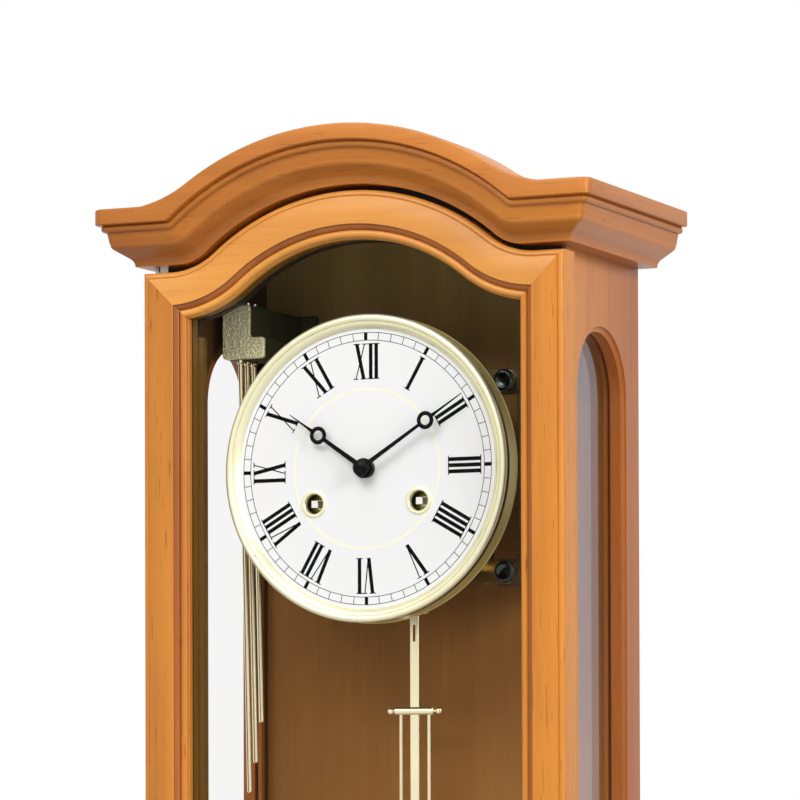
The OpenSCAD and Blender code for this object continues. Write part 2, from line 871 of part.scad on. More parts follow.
module hour_hand() {
    color("#111111") place() slab(hour_v, hour_v + hand_t) difference() {
        rotate(-hour_turn) hand_outline(6, hour_ring, hour_l, 1.5);
        circle(pipe_r);
    }
}

module minute_hand() {
    color("#111111") place() slab(minute_v, nut_v) difference() {
        rotate(-minute_turn) hand_outline(5, minute_ring, minute_l, 1.3);
        circle(cannon_r - 0.05);
    }
}

module hand_nut() {
    color("#111111") place() turned([0, 0]) polygon([[0, nut_v],
        [4.3, nut_v], [4.3, nut_v + 0.8], [3.7, nut_v + 1.7],
        [2.5, nut_v + 2.3], [1.2, nut_v + 2.5], [0, nut_v + 2.55]]);
}

// Gears
module gear_2d(n, m, root, tip, thick) {
    r = n * m / 2;
    p = 360 / n;
    polygon([for (i = [0:n - 1], q = [[-0.5 * thick - 0.07, -root], [-0.5 * thick, 0],
        [-0.11, tip], [0.11, tip], [0.5 * thick, 0], [0.5 * thick + 0.07, -root]])
        (r + q[1] * m) * [cos(p * (i + q[0])), sin(p * (i + q[0]))]]);
}

module wheel_2d(n, m) {
    gear_2d(n, m, 1.05, 0.75, 0.4);
}

module pinion_2d(n, m) {
    gear_2d(n, m, 1.05, 0.55, 0.34);
}

// A wheel with spokes, its teeth turned by an angle
module spoked_wheel(at, v, n, m, turn, bore) {
    rim = n * m / 2 - 1.05 * m - 2;
    slab(v, v + wheel_t) translate(at) rotate(turn) difference() {
        wheel_2d(n, m);
        circle(bore);
        if (rim > 8) difference() {
            circle(rim);
            circle(4);
            for (a = [0, 90]) rotate(a) square([2 * rim + 2, 2.2], center = true);
        }
    }
}

module pinion(at, v, n, m, turn) {
    slab(v - leaf_over, v + wheel_t + leaf_over) translate(at) rotate(turn) pinion_2d(n, m);
}

// An arbor from one plate to the other, with a thinner pivot in each
module arbor(at, r) {
    bar(at, back_plate_front + arbor_end, front_plate_back - arbor_end, r);
    bar(at, back_plate_v, back_plate_front + arbor_end, journal_r);
    bar(at, front_plate_back - arbor_end, front_plate_v, journal_r);
}

module front_plate() {
    color(brass) place() slab(front_plate_back, front_plate_v) difference() {
        translate([-plate_x, -plate_down]) square([2 * plate_x, plate_up + plate_down]);
        for (p = plate_pivots) translate(p) circle(journal_r + run_gap);
        circle(centre_r + run_gap);
        for (p = [going_at, strike_at]) translate(p) circle(winder_r + run_gap);
        translate(pallet_at) circle(journal_r + run_gap);
    }
    // stud of the minute wheel
    color(brass) place() bar(minute_at, front_plate_back, hour_wheel_v + wheel_t, stud_r);
}

module back_plate() {
    color(brass) place() {
        slab(back_plate_v, back_plate_front) difference() {
            union() {
                translate([-plate_x, -plate_down]) square([2 * plate_x, plate_up + plate_down]);
                for (z = thumb_z) {
                    translate([-thumb_x, z - lug_r]) square([2 * thumb_x, 2 * lug_r]);
                    for (s = [-1, 1]) translate([s * thumb_x, z]) circle(lug_r);
                }
            }
            for (p = plate_pivots) translate(p) circle(journal_r + run_gap);
            circle(journal_r + run_gap);
            for (p = [going_at, strike_at]) translate(p) circle(winder_r + run_gap);
            translate(pallet_at) circle(crutch_r + 1);
            for (s = [-1, 1], z = thumb_z) translate([s * thumb_x, z]) circle(thumb_shank + 0.2);
        }
        slab(pendulum_v - 4, back_plate_v)
            translate([-post_w / 2, pendulum_rise + 3.2]) square([post_w, 6]);
        slab(pendulum_v - 1, pendulum_v + 1)
            translate([-2.5, pendulum_rise + 0.3]) square([5, 3]);
    }
}

module plate_pillars() {
    color(brass) place() both_sides() for (z = [pillar_in - plate_down, plate_up - pillar_in])
        bar([plate_x - pillar_in, z], back_plate_front, front_plate_back, pillar_r);
}

module movement_brackets() {
    low = thumb_z[0] - 7;
    high = thumb_z[1] + 7;
    color(steel) place() both_sides() difference() {
        union() {
            slab(panel_v, panel_v + bracket_t) translate([bracket_x, low]) square([bracket_w, high - low]);
            slab(panel_v, back_plate_v) translate([bracket_x, low]) square([bracket_t, high - low]);
            for (z = thumb_z) slab(back_plate_v - bracket_t, back_plate_v)
                translate([bracket_x - 11, z - 7]) square([11 + bracket_t, 14]);
        }
        for (z = thumb_z) bar([thumb_x, z], back_plate_v - 5, back_plate_v + 1, thumb_shank);
        for (z = bracket_screw_z) bar([bracket_screw_x, z], panel_v - 1, panel_v + 3, screw_r + 0.1);
    }
}

module thumb_screws() {
    color("#55585C") place() both_sides() for (z = thumb_z) {
        bar([thumb_x, z], back_plate_v - 4, back_plate_front, thumb_shank);
        bar([thumb_x, z], back_plate_front, back_plate_front + 1, 3.6);
        slab(back_plate_front + 1, back_plate_front + 5.5) translate([thumb_x, z])
            gear_2d(24, 2 * thumb_r / 25, 0.35, 0.35, 0.5);
        bar([thumb_x, z], back_plate_front + 5.5, back_plate_front + 6.1, thumb_r - 1);
    }
}

module barrel(at) {
    difference() {
        bar(at, drum_v0, drum_v1, barrel_r);
        bar(at, drum_v0 - 1, drum_v1 + 1, winder_r + run_gap);
        bar(at, drum_v0 + drum_wall, drum_v1 - drum_wall, barrel_r - drum_wall);
    }
    slab(drum_v1, great_v) translate(at) difference() {
        circle(6);
        circle(winder_r + run_gap);
    }
    slab(great_v, great_v + wheel_t) translate(at) difference() {
        wheel_2d(great_n, great_m);
        circle(winder_r + run_gap);
    }
}

module going_barrel() {
    color(brass) place() barrel(going_at);
}

module strike_barrel() {
    color(brass) place() barrel(strike_at);
}

module winder(at) {
    color(steel) place() {
        bar(at, back_plate_v, front_plate_v, winder_r);
        slab(front_plate_v, dial_v - 0.5) translate(at) square(square_w, center = true);
        slab(great_v + 2.6, great_v + 4) translate(at) circle(6);
    }
}

module going_winder() {
    winder(going_at);
}

module strike_winder() {
    winder(strike_at);
}

module second_wheel() {
    color(brass) place() {
        arbor(second_at, 1.1);
        pinion(second_at, great_v, second_pinion_n, great_m,
            mesh_turn(bearing(going_at, second_at), 0, great_n, second_pinion_n));
        spoked_wheel(second_at, second_v, second_n, second_m, 0, 1);
    }
}

module centre_wheel() {
    color(brass) place() {
        bar(centre_at, back_plate_front + arbor_end, front_plate_back - arbor_end, 1.6);
        bar(centre_at, back_plate_v, back_plate_front + arbor_end, journal_r);
        pinion(centre_at, second_v, centre_pinion_n, second_m,
            mesh_turn(bearing(second_at, centre_at), 0, second_n, centre_pinion_n));
        spoked_wheel(centre_at, centre_v, centre_n, centre_m, 0, 1.5);
        bar(centre_at, front_plate_back - arbor_end, nut_v - 0.4, centre_r);
    }
}

// Turns on the centre arbor by friction, so that the hands can be set
module cannon_pinion() {
    color(brass) place() difference() {
        union() {
            bar(centre_at, front_plate_v + 0.3, motion_v, cannon_r);
            slab(motion_v, motion_v + wheel_t) pinion_2d(cannon_n, motion_m);
            bar(centre_at, motion_v + wheel_t, minute_v, cannon_r);
            bar(centre_at, minute_v, nut_v, cannon_r - 0.1);
        }
        bar(centre_at, front_plate_v, nut_v + 1, centre_r + run_gap);
    }
}

module third_wheel() {
    color(brass) place() {
        arbor(third_at, 1);
        pinion(third_at, centre_v, third_pinion_n, centre_m,
            mesh_turn(bearing(centre_at, third_at), 0, centre_n, third_pinion_n));
        spoked_wheel(third_at, third_v, third_n, third_m, 0, 0.9);
    }
}

module escape_wheel() {
    pitch = 360 / escape_n;
    color(brass) place() {
        arbor(escape_at, 0.9);
        pinion(escape_at, third_v, escape_pinion_n, third_m,
            mesh_turn(bearing(third_at, escape_at), 0, third_n, escape_pinion_n));
        slab(escape_v, escape_v + 1.2) translate(escape_at) difference() {
            polygon([for (i = [0:escape_n - 1], q = [[0, escape_r], [0.14, escape_r],
                [0.5, escape_r - 1.9], [0.9, escape_r - 1.9]])
                q[1] * [cos(pitch * (i + q[0])), sin(pitch * (i + q[0]))]]);
            for (a = [0:72:288]) rotate(a) translate([5.3, 0]) circle(1.7);
        }
    }
}

module anchor() {
    color(steel) place() {
        bar(pallet_at, escape_v - 3, front_plate_back - arbor_end, 1);
        bar(pallet_at, front_plate_back - arbor_end, front_plate_v, journal_r);
        bar(pallet_at, pendulum_v + 7, escape_v - 3, crutch_r);
        slab(escape_v - 0.6, escape_v + 1.8) translate(pallet_at) {
            circle(2.2);
            for (s = [-1, 1]) polygon([[0, 2], [s * 9.2, -2], [s * 10.2, -5.7],
                [s * 9.4, -5.9], [s * 8, -3], [0, -1.4]]);
        }
        slab(pendulum_v + 6, pendulum_v + 8) {
            translate(pallet_at) circle(2.6);
            translate([-0.9, crutch_low + 2]) square([1.8, pendulum_rise - crutch_low - 2]);
        }
        slab(pendulum_v - 3, pendulum_v + 8) {
            for (s = [-1, 1]) translate([s * 2.5 - 0.6, crutch_low]) square([1.2, 4]);
        }
        slab(pendulum_v + 6, pendulum_v + 8) translate([-3.1, crutch_low]) square([6.2, 4]);
    }
}

module minute_wheel() {
    turn = mesh_turn(bearing(centre_at, minute_at), 0, cannon_n, minute_n);
    color(brass) place() difference() {
        union() {
            slab(motion_v, motion_v + wheel_t) translate(minute_at) rotate(turn)
                wheel_2d(minute_n, motion_m);
            slab(motion_v + wheel_t, hour_wheel_v + wheel_t) translate(minute_at)
                pinion_2d(minute_pinion_n, hour_m);
            bar(minute_at, front_plate_v + 0.3, motion_v, 2);
        }
        bar(minute_at, front_plate_v, hour_wheel_v + 3, stud_r + run_gap);
    }
}

module hour_wheel() {
    turn = mesh_turn(bearing(minute_at, centre_at), 0, minute_pinion_n, hour_n);
    color(brass) place() difference() {
        union() {
            slab(hour_wheel_v, hour_wheel_v + wheel_t) rotate(turn) wheel_2d(hour_n, hour_m);
            bar(centre_at, hour_wheel_v, hour_v + hand_t, pipe_r);
        }
        bar(centre_at, motion_v, hour_v + 5, cannon_r + run_gap);
    }
}

module pin_wheel() {
    color(brass) place() {
        arbor(pin_at, 1.1);
        pinion(pin_at, great_v, second_pinion_n, great_m,
            mesh_turn(bearing(strike_at, pin_at), 0, great_n, second_pinion_n));
        spoked_wheel(pin_at, second_v, pin_n, pin_m, 0, 1);
        for (a = [0:45:315]) bar(pin_at + 10.9 * [cos(a), sin(a)], second_v - 3, second_v, 0.6);
    }
}

module hammers() {
    head = [-hammer_x, hammer_at[1] + hammer_rise];
    color(brass) place() {
        arbor(hammer_at, 1.2);
        for (i = [0:2]) {
            v = gong_v - i * gong_pitch - 1.2;
            translate([head[0], -v, head[1]]) rotate([0, 90, 0]) cylinder(r = 3.3, h = 8);
            bar(hammer_at, v - 1.5, v + 1.5, 2.4);
            slab(v - 0.7, v + 0.7) polygon([hammer_at + [-1, 0], hammer_at + [0.4, 0.6],
                head + [4.8, 0], head + [3.4, 0]]);
        }
    }
}

// Gong
module gong_block() {
    color("#B9B47E") place() {
        slab(panel_v, gong_front) translate([gong_left, gong_step])
            square([gong_block_w, gong_top - gong_step]);
        slab(gong_v - 2 * gong_pitch - 6, gong_front) translate([gong_left, gong_foot])
            square([gong_tray_w, gong_step - gong_foot]);
        slab(panel_v, panel_v + 5) translate([gong_left, gong_foot])
            square([gong_tray_w, gong_top - gong_foot]);
    }
}

module gong_rods() {
    color(brass) place() for (i = [0:2]) let (l = gong_l - i * gong_cut - 2.9 * i * i)
        translate([-gong_x, -gong_v + i * gong_pitch, gong_foot]) {
            rotate([gong_lean, 0, 0]) translate([0, 0, -l]) cylinder(r = gong_r, h = l - 1);
            translate([0, 0, -4]) cylinder(r = gong_r + 1.2, h = 4);
        }
}

module gong_screws() {
    color(steel) place() for (i = [0:2])
        translate([-gong_x, -gong_v + i * gong_pitch, gong_top]) difference() {
            cylinder(r = 2.2, h = 1.8);
            translate([-3, -0.35, 1]) cube([6, 0.7, 2]);
        }
}

// Pendulum
module pendulum_rod() {
    color(brass) place() {
        // leaf spring and leader
        slab(pendulum_v - 0.3, pendulum_v + 0.3) translate([-2, pendulum_rise - 8]) square([4, 8]);
        slab(pendulum_v - 2, pendulum_v + 2) translate([-2.5, pendulum_rise - 12]) square([5, 4.5]);
        bar_z([0, rod_top + 4], pendulum_rise - 11 - rod_top - 4, 1.4);
        slab(pendulum_v - 2.4, pendulum_v + 2.4) translate([-8, rod_top - 3]) square([16, 3.4]);
        // flat rod with the slot below its top
        slab(pendulum_v - pendulum_rod_t / 2, pendulum_v + pendulum_rod_t / 2) difference() {
            translate([-pendulum_rod_w / 2, bob_z - bob_r - 1])
                square([pendulum_rod_w, rod_top + 5.5 - bob_z + bob_r]);
            translate([-0.75, slot_low]) square([1.5, slot_l]);
        }
        // crossbars with the side rods between them
        for (z = [yoke_z, low_yoke_z]) {
            translate([-yoke_x - 5.1, -pendulum_v, z]) rotate([0, 90, 0])
                cylinder(r = 2, h = 2 * (yoke_x + 5.1));
            for (s = [-1, 1]) translate([s * (yoke_x + 5.6), -pendulum_v, z]) sphere(r = 2.3);
        }
        for (s = [-1, 1]) translate([s * yoke_x, -pendulum_v, low_yoke_z])
            cylinder(r = side_rod_r, h = yoke_z - low_yoke_z);
        // threaded end below the bob
        bar_z([0, nut_z - 12], bob_z - bob_r + 1 - nut_z + 12, thread_r);
    }
}

// An upright round bar in the pendulum's plane
module bar_z(at, h, r) {
    translate([at[0], -pendulum_v, at[1]]) cylinder(r = r, h = h);
}

module bob() {
    h = bob_t / 2;
    color(brass) place() difference() {
        turned([0, bob_z]) polygon([
        [0, pendulum_v - h], [0.5 * bob_r, pendulum_v - 0.8 * h], [0.8 * bob_r, pendulum_v - 0.48 * h],
        [0.94 * bob_r, pendulum_v - 0.36 * h], [0.985 * bob_r, pendulum_v - 0.28 * h],
        [bob_r, pendulum_v - 0.1 * h], [bob_r, pendulum_v + 0.1 * h],
        [0.985 * bob_r, pendulum_v + 0.28 * h], [0.94 * bob_r, pendulum_v + 0.36 * h],
        [0.8 * bob_r, pendulum_v + 0.48 * h], [0.5 * bob_r, pendulum_v + 0.8 * h],
        [0, pendulum_v + h]]);
        slab(pendulum_v - pendulum_rod_t / 2 - 0.1, pendulum_v + pendulum_rod_t / 2 + 0.1)
            translate([-pendulum_rod_w / 2 - 0.1, bob_z - bob_r - 1])
                square([pendulum_rod_w + 0.2, 2 * bob_r + 2]);
        bar_z([0, bob_z - bob_r - 1], 3, thread_r + 0.2);
    }
}

module rating_nut() {
    color(brass) place() translate([0, -pendulum_v, nut_z]) difference() {
        union() {
            linear_extrude(3.5) gear_2d(24, 0.56, 0.35, 0.35, 0.5);
            translate([0, 0, 3.5]) cylinder(r = 3.4, h = 1.5);
        }
        translate([0, 0, -1]) cylinder(r = thread_r + run_gap, h = 8);
    }
}

side_left();
side_right();
back_panel();
hanging_rail();
bottom_board();
head_board();
face_strips();
dust_strips();
roof();
crown_front();
crown_left();
crown_right();
base_front();
base_left();
base_right();
side_glass();
side_glass_beads();
hanger_plate();
wood_screws();
door_magnet();
door_pivots();
door_left_stile();
door_right_stile();
door_top_rail();
door_bottom_rail();
door_glass();
door_glass_bead();
door_bushes();
door_strike();
dial_plate();
bezel();
winding_collars();
hour_hand();
minute_hand();
hand_nut();
front_plate();
back_plate();
plate_pillars();
movement_brackets();
thumb_screws();
going_barrel();
strike_barrel();
going_winder();
strike_winder();
second_wheel();
centre_wheel();
third_wheel();
escape_wheel();
anchor();
cannon_pinion();
minute_wheel();
hour_wheel();
pin_wheel();
hammers();
gong_block();
gong_rods();
gong_screws();
pendulum_rod();
bob();
rating_nut();
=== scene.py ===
import math

import bmesh
import bpy
import numpy as np
from mathutils import Matrix, Vector


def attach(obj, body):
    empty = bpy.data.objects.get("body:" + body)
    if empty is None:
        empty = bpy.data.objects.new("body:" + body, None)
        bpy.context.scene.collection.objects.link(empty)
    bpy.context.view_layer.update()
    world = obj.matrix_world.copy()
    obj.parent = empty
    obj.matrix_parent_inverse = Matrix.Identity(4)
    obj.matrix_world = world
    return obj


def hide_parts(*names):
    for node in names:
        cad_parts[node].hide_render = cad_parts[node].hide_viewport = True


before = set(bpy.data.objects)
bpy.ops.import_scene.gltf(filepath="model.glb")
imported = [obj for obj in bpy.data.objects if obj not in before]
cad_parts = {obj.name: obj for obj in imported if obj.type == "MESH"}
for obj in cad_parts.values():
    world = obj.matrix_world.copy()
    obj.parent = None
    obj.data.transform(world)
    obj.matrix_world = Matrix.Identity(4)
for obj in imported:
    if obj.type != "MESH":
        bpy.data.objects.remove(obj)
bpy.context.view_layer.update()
print("frame loaded")

eyeRise = 85.0  # the dial's centre lies this far below the hanging eye, mm


# millimetres beside the dial's centre (x, distance from the wall, height) become metres
def place(x, v, z):
    x, v, z = np.broadcast_arrays(x, v, z)
    return np.stack([x, -v, z - eyeRise], axis=-1) / 1000.0


# points on an arc about a centre, by angle in degrees, with one radius or with one along each axis
def arc(centre, radius, start, end, count):
    t = np.radians(np.linspace(start, end, count))
    return np.stack([np.cos(t), np.sin(t)], 1) * radius + centre


# quads between neighbouring rows of a grid of points, each row a closed loop
def gridQuads(rows, cols):
    r = np.arange(rows - 1)[:, None]
    c = np.arange(cols)[None, :]
    a = r * cols + c
    b = r * cols + (c + 1) % cols
    return np.stack([a, b, b + cols, a + cols], axis=-1).reshape(-1, 4).tolist()


# a closed profile carried along a path: rows are stations, and each end is one flat face
def carried(grid):
    rows, cols = grid.shape[:2]
    faces = gridQuads(rows, cols)
    faces.append(list(range(cols)))
    faces.append(list(range((rows - 1) * cols, rows * cols)))
    return grid.reshape(-1, 3), faces


# the right half of such a grid with its mirror image before it
def bothHalves(half):
    mirror = half[::-1].copy()
    mirror[..., 0] *= -1
    return carried(np.concatenate([mirror[:-1], half]))


# a profile of radius and length turned about a line; spot places the points from r sin a, r cos a
# and the length
def revolved(profile, steps, spot):
    profile = np.array(profile, float)
    a = np.linspace(0, 2 * np.pi, steps, endpoint=False)
    r, length = profile[:, :1], profile[:, 1:2]
    grid = spot(r * np.sin(a), r * np.cos(a), length + 0 * a)
    return grid.reshape(-1, 3), gridQuads(len(profile), steps)


# about a line that runs into the wall, the length being a distance from the wall
def turned(profile, at=(0, 0), steps=96):
    return revolved(profile, steps, lambda s, c, v: place(at[0] + s, v, at[1] + c))


# about an upright line, the length being a height
def turnedUp(profile, x, v, steps):
    return revolved(profile, steps, lambda s, c, z: place(x + s, v + c, z))


# about a level line, the length being a place across
def turnedAcross(profile, v, z, steps):
    return revolved(profile, steps, lambda s, c, x: place(x, v + s, z + c))


# an outline in x and z between two distances from the wall, its front edge eased by a bevel:
# each corner moves in along the bisector of its two edges
def plate(outline, v0, v1, bevel):
    p = np.array(outline, float)
    area = np.sum(p[:, 0] * np.roll(p[:, 1], -1) - np.roll(p[:, 0], -1) * p[:, 1])
    p = p if area > 0 else p[::-1]
    d = np.roll(p, -1, 0) - p
    n = np.stack([-d[:, 1], d[:, 0]], -1) / np.linalg.norm(d, axis=1)[:, None]
    m = n + np.roll(n, 1, 0)
    sharpest = 0.4  # keeps a sharp corner from moving too far
    m = m / np.maximum(np.sum(m * m, 1), sharpest)[:, None] * 2
    rows = [(p, v0), (p, v1 - bevel), (p + bevel * m, v1)]
    return carried(np.stack([place(q[:, 0], v, q[:, 1]) for q, v in rows]))


# a box with eased edges between two corners, in x, distance from the wall and height:
# an outline with rounded corners, drawn in by the same amount towards both ends
def block(low, high, ease):
    (x0, v0, z0), (x1, v1, z1) = low, high
    t = np.radians([90, 45, 0])
    inX, inZ = ease * (1 - np.sin(t)), ease * (1 - np.cos(t))
    x = np.concatenate([x0 + inX, x1 - inX[::-1], x1 - inX, x0 + inX[::-1]])
    z = np.concatenate([z0 + inZ, z0 + inZ[::-1], z1 - inZ, z1 - inZ[::-1]])
    midX, midZ, halfX, halfZ = (x0 + x1) / 2, (z0 + z1) / 2, (x1 - x0) / 2, (z1 - z0) / 2
    near = 0.3 * ease
    v = np.array([v0, v0 + near, v0 + ease, v1 - ease, v1 - near, v1])[:, None]
    inset = np.array([ease, near, 0, 0, near, ease])[:, None]
    return carried(place(midX + (x - midX) * (halfX - inset) / halfX, v + 0 * x,
                         midZ + (z - midZ) * (halfZ - inset) / halfZ))


def addObject(name, data):
    thing = bpy.data.objects.new(name, data)
    bpy.context.scene.collection.objects.link(thing)
    return thing


# one object from several closed shells, each merged at its poles and turned outwards
def buildPiece(name, shells, material, body, replaced=(), crease=32):
    whole = bmesh.new()
    for points, faces in shells:
        mesh = bpy.data.meshes.new("shell")
        mesh.from_pydata(np.asarray(points, float).tolist(), [], faces)
        part = bmesh.new()
        part.from_mesh(mesh)
        bmesh.ops.remove_doubles(part, verts=part.verts, dist=1.5e-6)
        bmesh.ops.recalc_face_normals(part, faces=part.faces)
        part.to_mesh(mesh)
        part.free()
        whole.from_mesh(mesh)
        bpy.data.meshes.remove(mesh)
    mesh = bpy.data.meshes.new(name)
    whole.to_mesh(mesh)
    whole.free()
    mesh.polygons.foreach_set("use_smooth", np.ones(len(mesh.polygons), bool))
    mesh.set_sharp_from_angle(angle=math.radians(crease))
    mesh.materials.append(material)
    piece = addObject(name, mesh)
    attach(piece, body)
    if replaced:
        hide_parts(*replaced)
    return piece


# middles of a piece's faces: x, distance from the wall and height, in mm
def faceMiddles(piece):
    middles = np.empty(len(piece.data.polygons) * 3)
    piece.data.polygons.foreach_get("center", middles)
    middles = middles.reshape(-1, 3) * 1000
    return middles[:, 0], -middles[:, 1], middles[:, 2] + eyeRise


# each face's material by its number in the piece's list
def paintFaces(piece, numbers):
    piece.data.polygons.foreach_set("material_index", np.asarray(numbers).astype(np.int32))


# sRGB from 0 to 255 as a linear colour
def linear(colour):
    c = np.array(colour) / 255.0
    return (*np.where(c <= 0.04045, c / 12.92, ((c + 0.055) / 1.055) ** 2.4).tolist(), 1.0)


def grey(level):
    return (level, level, level, 1)


def newMaterial(name):
    m = bpy.data.materials.new(name)
    m.use_nodes = True
    return m, m.node_tree, m.node_tree.nodes["Principled BSDF"]


# inputs, by name or number, take a value or the output of another node
def feed(tree, n, inputs):
    for key, value in inputs.items():
        if isinstance(value, bpy.types.NodeSocket):
            tree.links.new(value, n.inputs[key])
        else:
            n.inputs[key].default_value = value
    return n


def node(tree, kind, inputs=None, **settings):
    n = tree.nodes.new(kind)
    for key, value in settings.items():
        setattr(n, key, value)
    return feed(tree, n, inputs or {})


# object coordinates, stretched along each axis
def patternSpace(tree, scale=(1, 1, 1)):
    coords = node(tree, "ShaderNodeTexCoord").outputs["Object"]
    return node(tree, "ShaderNodeMapping", {"Vector": coords, "Scale": scale}).outputs["Vector"]


def axisPart(tree, axis):
    return node(tree, "ShaderNodeSeparateXYZ", {"Vector": patternSpace(tree)}).outputs[axis]


def noise(tree, space, scale, detail, roughness=0.5, distortion=0.0):
    inputs = {"Vector": space, "Scale": scale, "Detail": detail, "Roughness": roughness,
              "Distortion": distortion}
    return node(tree, "ShaderNodeTexNoise", inputs).outputs["Fac"]


def ramp(tree, source, stops):
    r = node(tree, "ShaderNodeValToRGB", {"Fac": source})
    r.color_ramp.elements[0].position, r.color_ramp.elements[0].color = stops[0]
    r.color_ramp.elements[1].position, r.color_ramp.elements[1].color = stops[-1]
    for position, colour in stops[1:-1]:
        r.color_ramp.elements.new(position).color = colour
    return r.outputs["Color"]


# a colour that is darker by a share where the noise is low
def mottled(tree, grain, colour, share, start=0.35, end=0.65):
    low = tuple(c * (1 - share) for c in colour[:3]) + (1,)
    return ramp(tree, grain, [(start, low), (end, colour)])


def blendColour(tree, kind, factor, a, b):
    inputs = {0: factor, 6: a, 7: b}
    return node(tree, "ShaderNodeMix", inputs, data_type="RGBA", blend_type=kind).outputs[2]


def mixShader(tree, factor, a, b):
    return node(tree, "ShaderNodeMixShader", {0: factor, 1: a, 2: b}).outputs[0]


def maths(tree, operation, a, b=0.0):
    return node(tree, "ShaderNodeMath", {0: a, 1: b}, operation=operation).outputs[0]


# a value moved from one range to another and held at its ends
def mapRange(tree, value, fromMin, fromMax, toMin=0.0, toMax=1.0):
    inputs = {"Value": value, "From Min": fromMin, "From Max": fromMax, "To Min": toMin, "To Max": toMax}
    return node(tree, "ShaderNodeMapRange", inputs).outputs["Result"]


def bumped(tree, height, strength, distance):
    inputs = {"Height": height, "Strength": strength, "Distance": distance}
    return node(tree, "ShaderNodeBump", inputs).outputs["Normal"]


# 1 for rays that show a thing to the eye, in mirrors or through glass, and the given share for others
def shownRays(tree, share):
    path = node(tree, "ShaderNodeLightPath")
    for ray in ("Is Camera Ray", "Is Glossy Ray", "Is Transmission Ray"):
        share = maths(tree, "MAXIMUM", path.outputs[ray], share)
    return share


# colour multiplied by a tint that changes along one axis, between two places in metres: painted light and
# shade along a piece
def paintedLightAlong(tree, base, axis, start, end, low, high):
    span = mapRange(tree, axisPart(tree, axis), start, end)
    return blendColour(tree, "MULTIPLY", 1.0, base, ramp(tree, span, [(0.0, low), (1.0, high)]))


# the side boards' inner faces lie just inside this distance from the middle, in metres
boardFaces = (0.1003, 0.1006)


# stained wood: long faint streaks and small dark flecks along the grain, under a satin lacquer, with painted
# light and shade along one axis where asked
def woodMaterial(name, tones, along="z", gloss=0.36, coat=0.1, fleck=0.5, sheen=0.28, inside=None, paintedLight=None):
    m, tree, shader = newMaterial(name)
    light, mid, dark = [linear(tone) for tone in tones]
    def drawnOut(share):
        return patternSpace(tree, [share if axis == along else 1.0 for axis in "xyz"])
    space = drawnOut(0.045)
    streak = noise(tree, space, scale=420.0, detail=6.0, roughness=0.62)
    figure = noise(tree, space, scale=46.0, detail=3.0, distortion=0.6)
    cloud = noise(tree, patternSpace(tree), scale=9.0, detail=2.0)
    pores = noise(tree, drawnOut(0.06), scale=900.0, detail=2.0, roughness=0.4)
    fine = ramp(tree, streak, [(0.3, mid), (0.72, light)])
    wide = ramp(tree, figure, [(0.32, dark), (0.55, mid), (0.75, light)])
    shade = ramp(tree, cloud, [(0.3, grey(0.86)), (0.7, grey(1.06))])
    base = blendColour(tree, "MULTIPLY", 0.6, blendColour(tree, "MIX", 0.45, fine, wide), shade)
    spots = ramp(tree, pores, [(0.26, grey(0)), (0.36, grey(1))])
    base = blendColour(tree, "MIX", fleck, base, blendColour(tree, "MIX", spots, dark, base))
    if inside:  # darker on the faces that look into the case
        outer = mapRange(tree, maths(tree, "ABSOLUTE", axisPart(tree, "X")), *boardFaces)
        base = blendColour(tree, "MIX", outer, blendColour(tree, "MULTIPLY", 1.0, base, inside), base)
    if paintedLight:
        base = paintedLightAlong(tree, base, *paintedLight)
    feed(tree, shader, {"Base Color": base, "Normal": bumped(tree, streak, 0.12, 0.00012), "Roughness": gloss,
                        "Coat Weight": coat, "Coat Roughness": 0.2, "Specular IOR Level": sheen})
    return m


# metal whose colour and polish change a little from place to place
def metalMaterial(name, colour, rough, scale, change, brush=(1, 1, 1), metal=1.0):
    m, tree, shader = newMaterial(name)
    grain = noise(tree, patternSpace(tree, brush), scale, detail=4.0, roughness=0.6)
    polish = mapRange(tree, grain, 0.0, 1.0, max(rough - change, 0.01), rough + change)
    feed(tree, shader, {"Base Color": mottled(tree, grain, linear(colour), change * 2), "Roughness": polish,
                        "Metallic": metal})
    return m


# gold paint over a rough casting: grains of light and dark with a pebbled surface
def hammeredMaterial(name):
    m, tree, shader = newMaterial(name)
    grain = noise(tree, patternSpace(tree), scale=1050.0, detail=2.5, roughness=0.6)
    tones = [(0.34, linear((176, 166, 104))), (0.5, linear((250, 244, 190))), (0.66, linear((255, 255, 236)))]
    feed(tree, shader, {"Base Color": ramp(tree, grain, tones), "Normal": bumped(tree, grain, 0.9, 0.0006),
                        "Metallic": 0.45, "Roughness": 0.4})
    return m


# thin clear pane: each face mirrors as much as the Fresnel law says and lets the rest through,
# and a ray meets the far face as it met the near one, because nothing bends in a thin pane;
# a pane on the left may bend less than one on the right
def glassMaterial(name, mirror, leftIndex, rightIndex):
    m, tree, shader = newMaterial(name)
    bend = mapRange(tree, axisPart(tree, "X"), -0.01, 0.01, leftIndex, rightIndex)
    back = node(tree, "ShaderNodeNewGeometry").outputs["Backfacing"]
    inputs = {0: back, 2: bend, 3: maths(tree, "DIVIDE", 1.0, bend)}
    index = node(tree, "ShaderNodeMix", inputs, data_type="FLOAT").outputs[0]
    film = noise(tree, patternSpace(tree), scale=14.0, detail=2.0)
    feed(tree, shader, {"Base Color": mottled(tree, film, mirror, 0.06, 0.3, 0.7), "Metallic": 1.0,
                        "Roughness": 0.02,
                        "Alpha": node(tree, "ShaderNodeFresnel", {"IOR": index}).outputs["Fac"]})
    return m


# paint or print with a faint mottle and bump
def paintMaterial(name, colour, rough, spec, change):
    m, tree, shader = newMaterial(name)
    grain = noise(tree, patternSpace(tree), scale=240.0, detail=4.0, roughness=0.6)
    feed(tree, shader, {"Base Color": mottled(tree, grain, linear(colour), change), "Roughness": rough,
                        "Specular IOR Level": spec, "Normal": bumped(tree, grain, 0.05, 0.0001)})
    return m


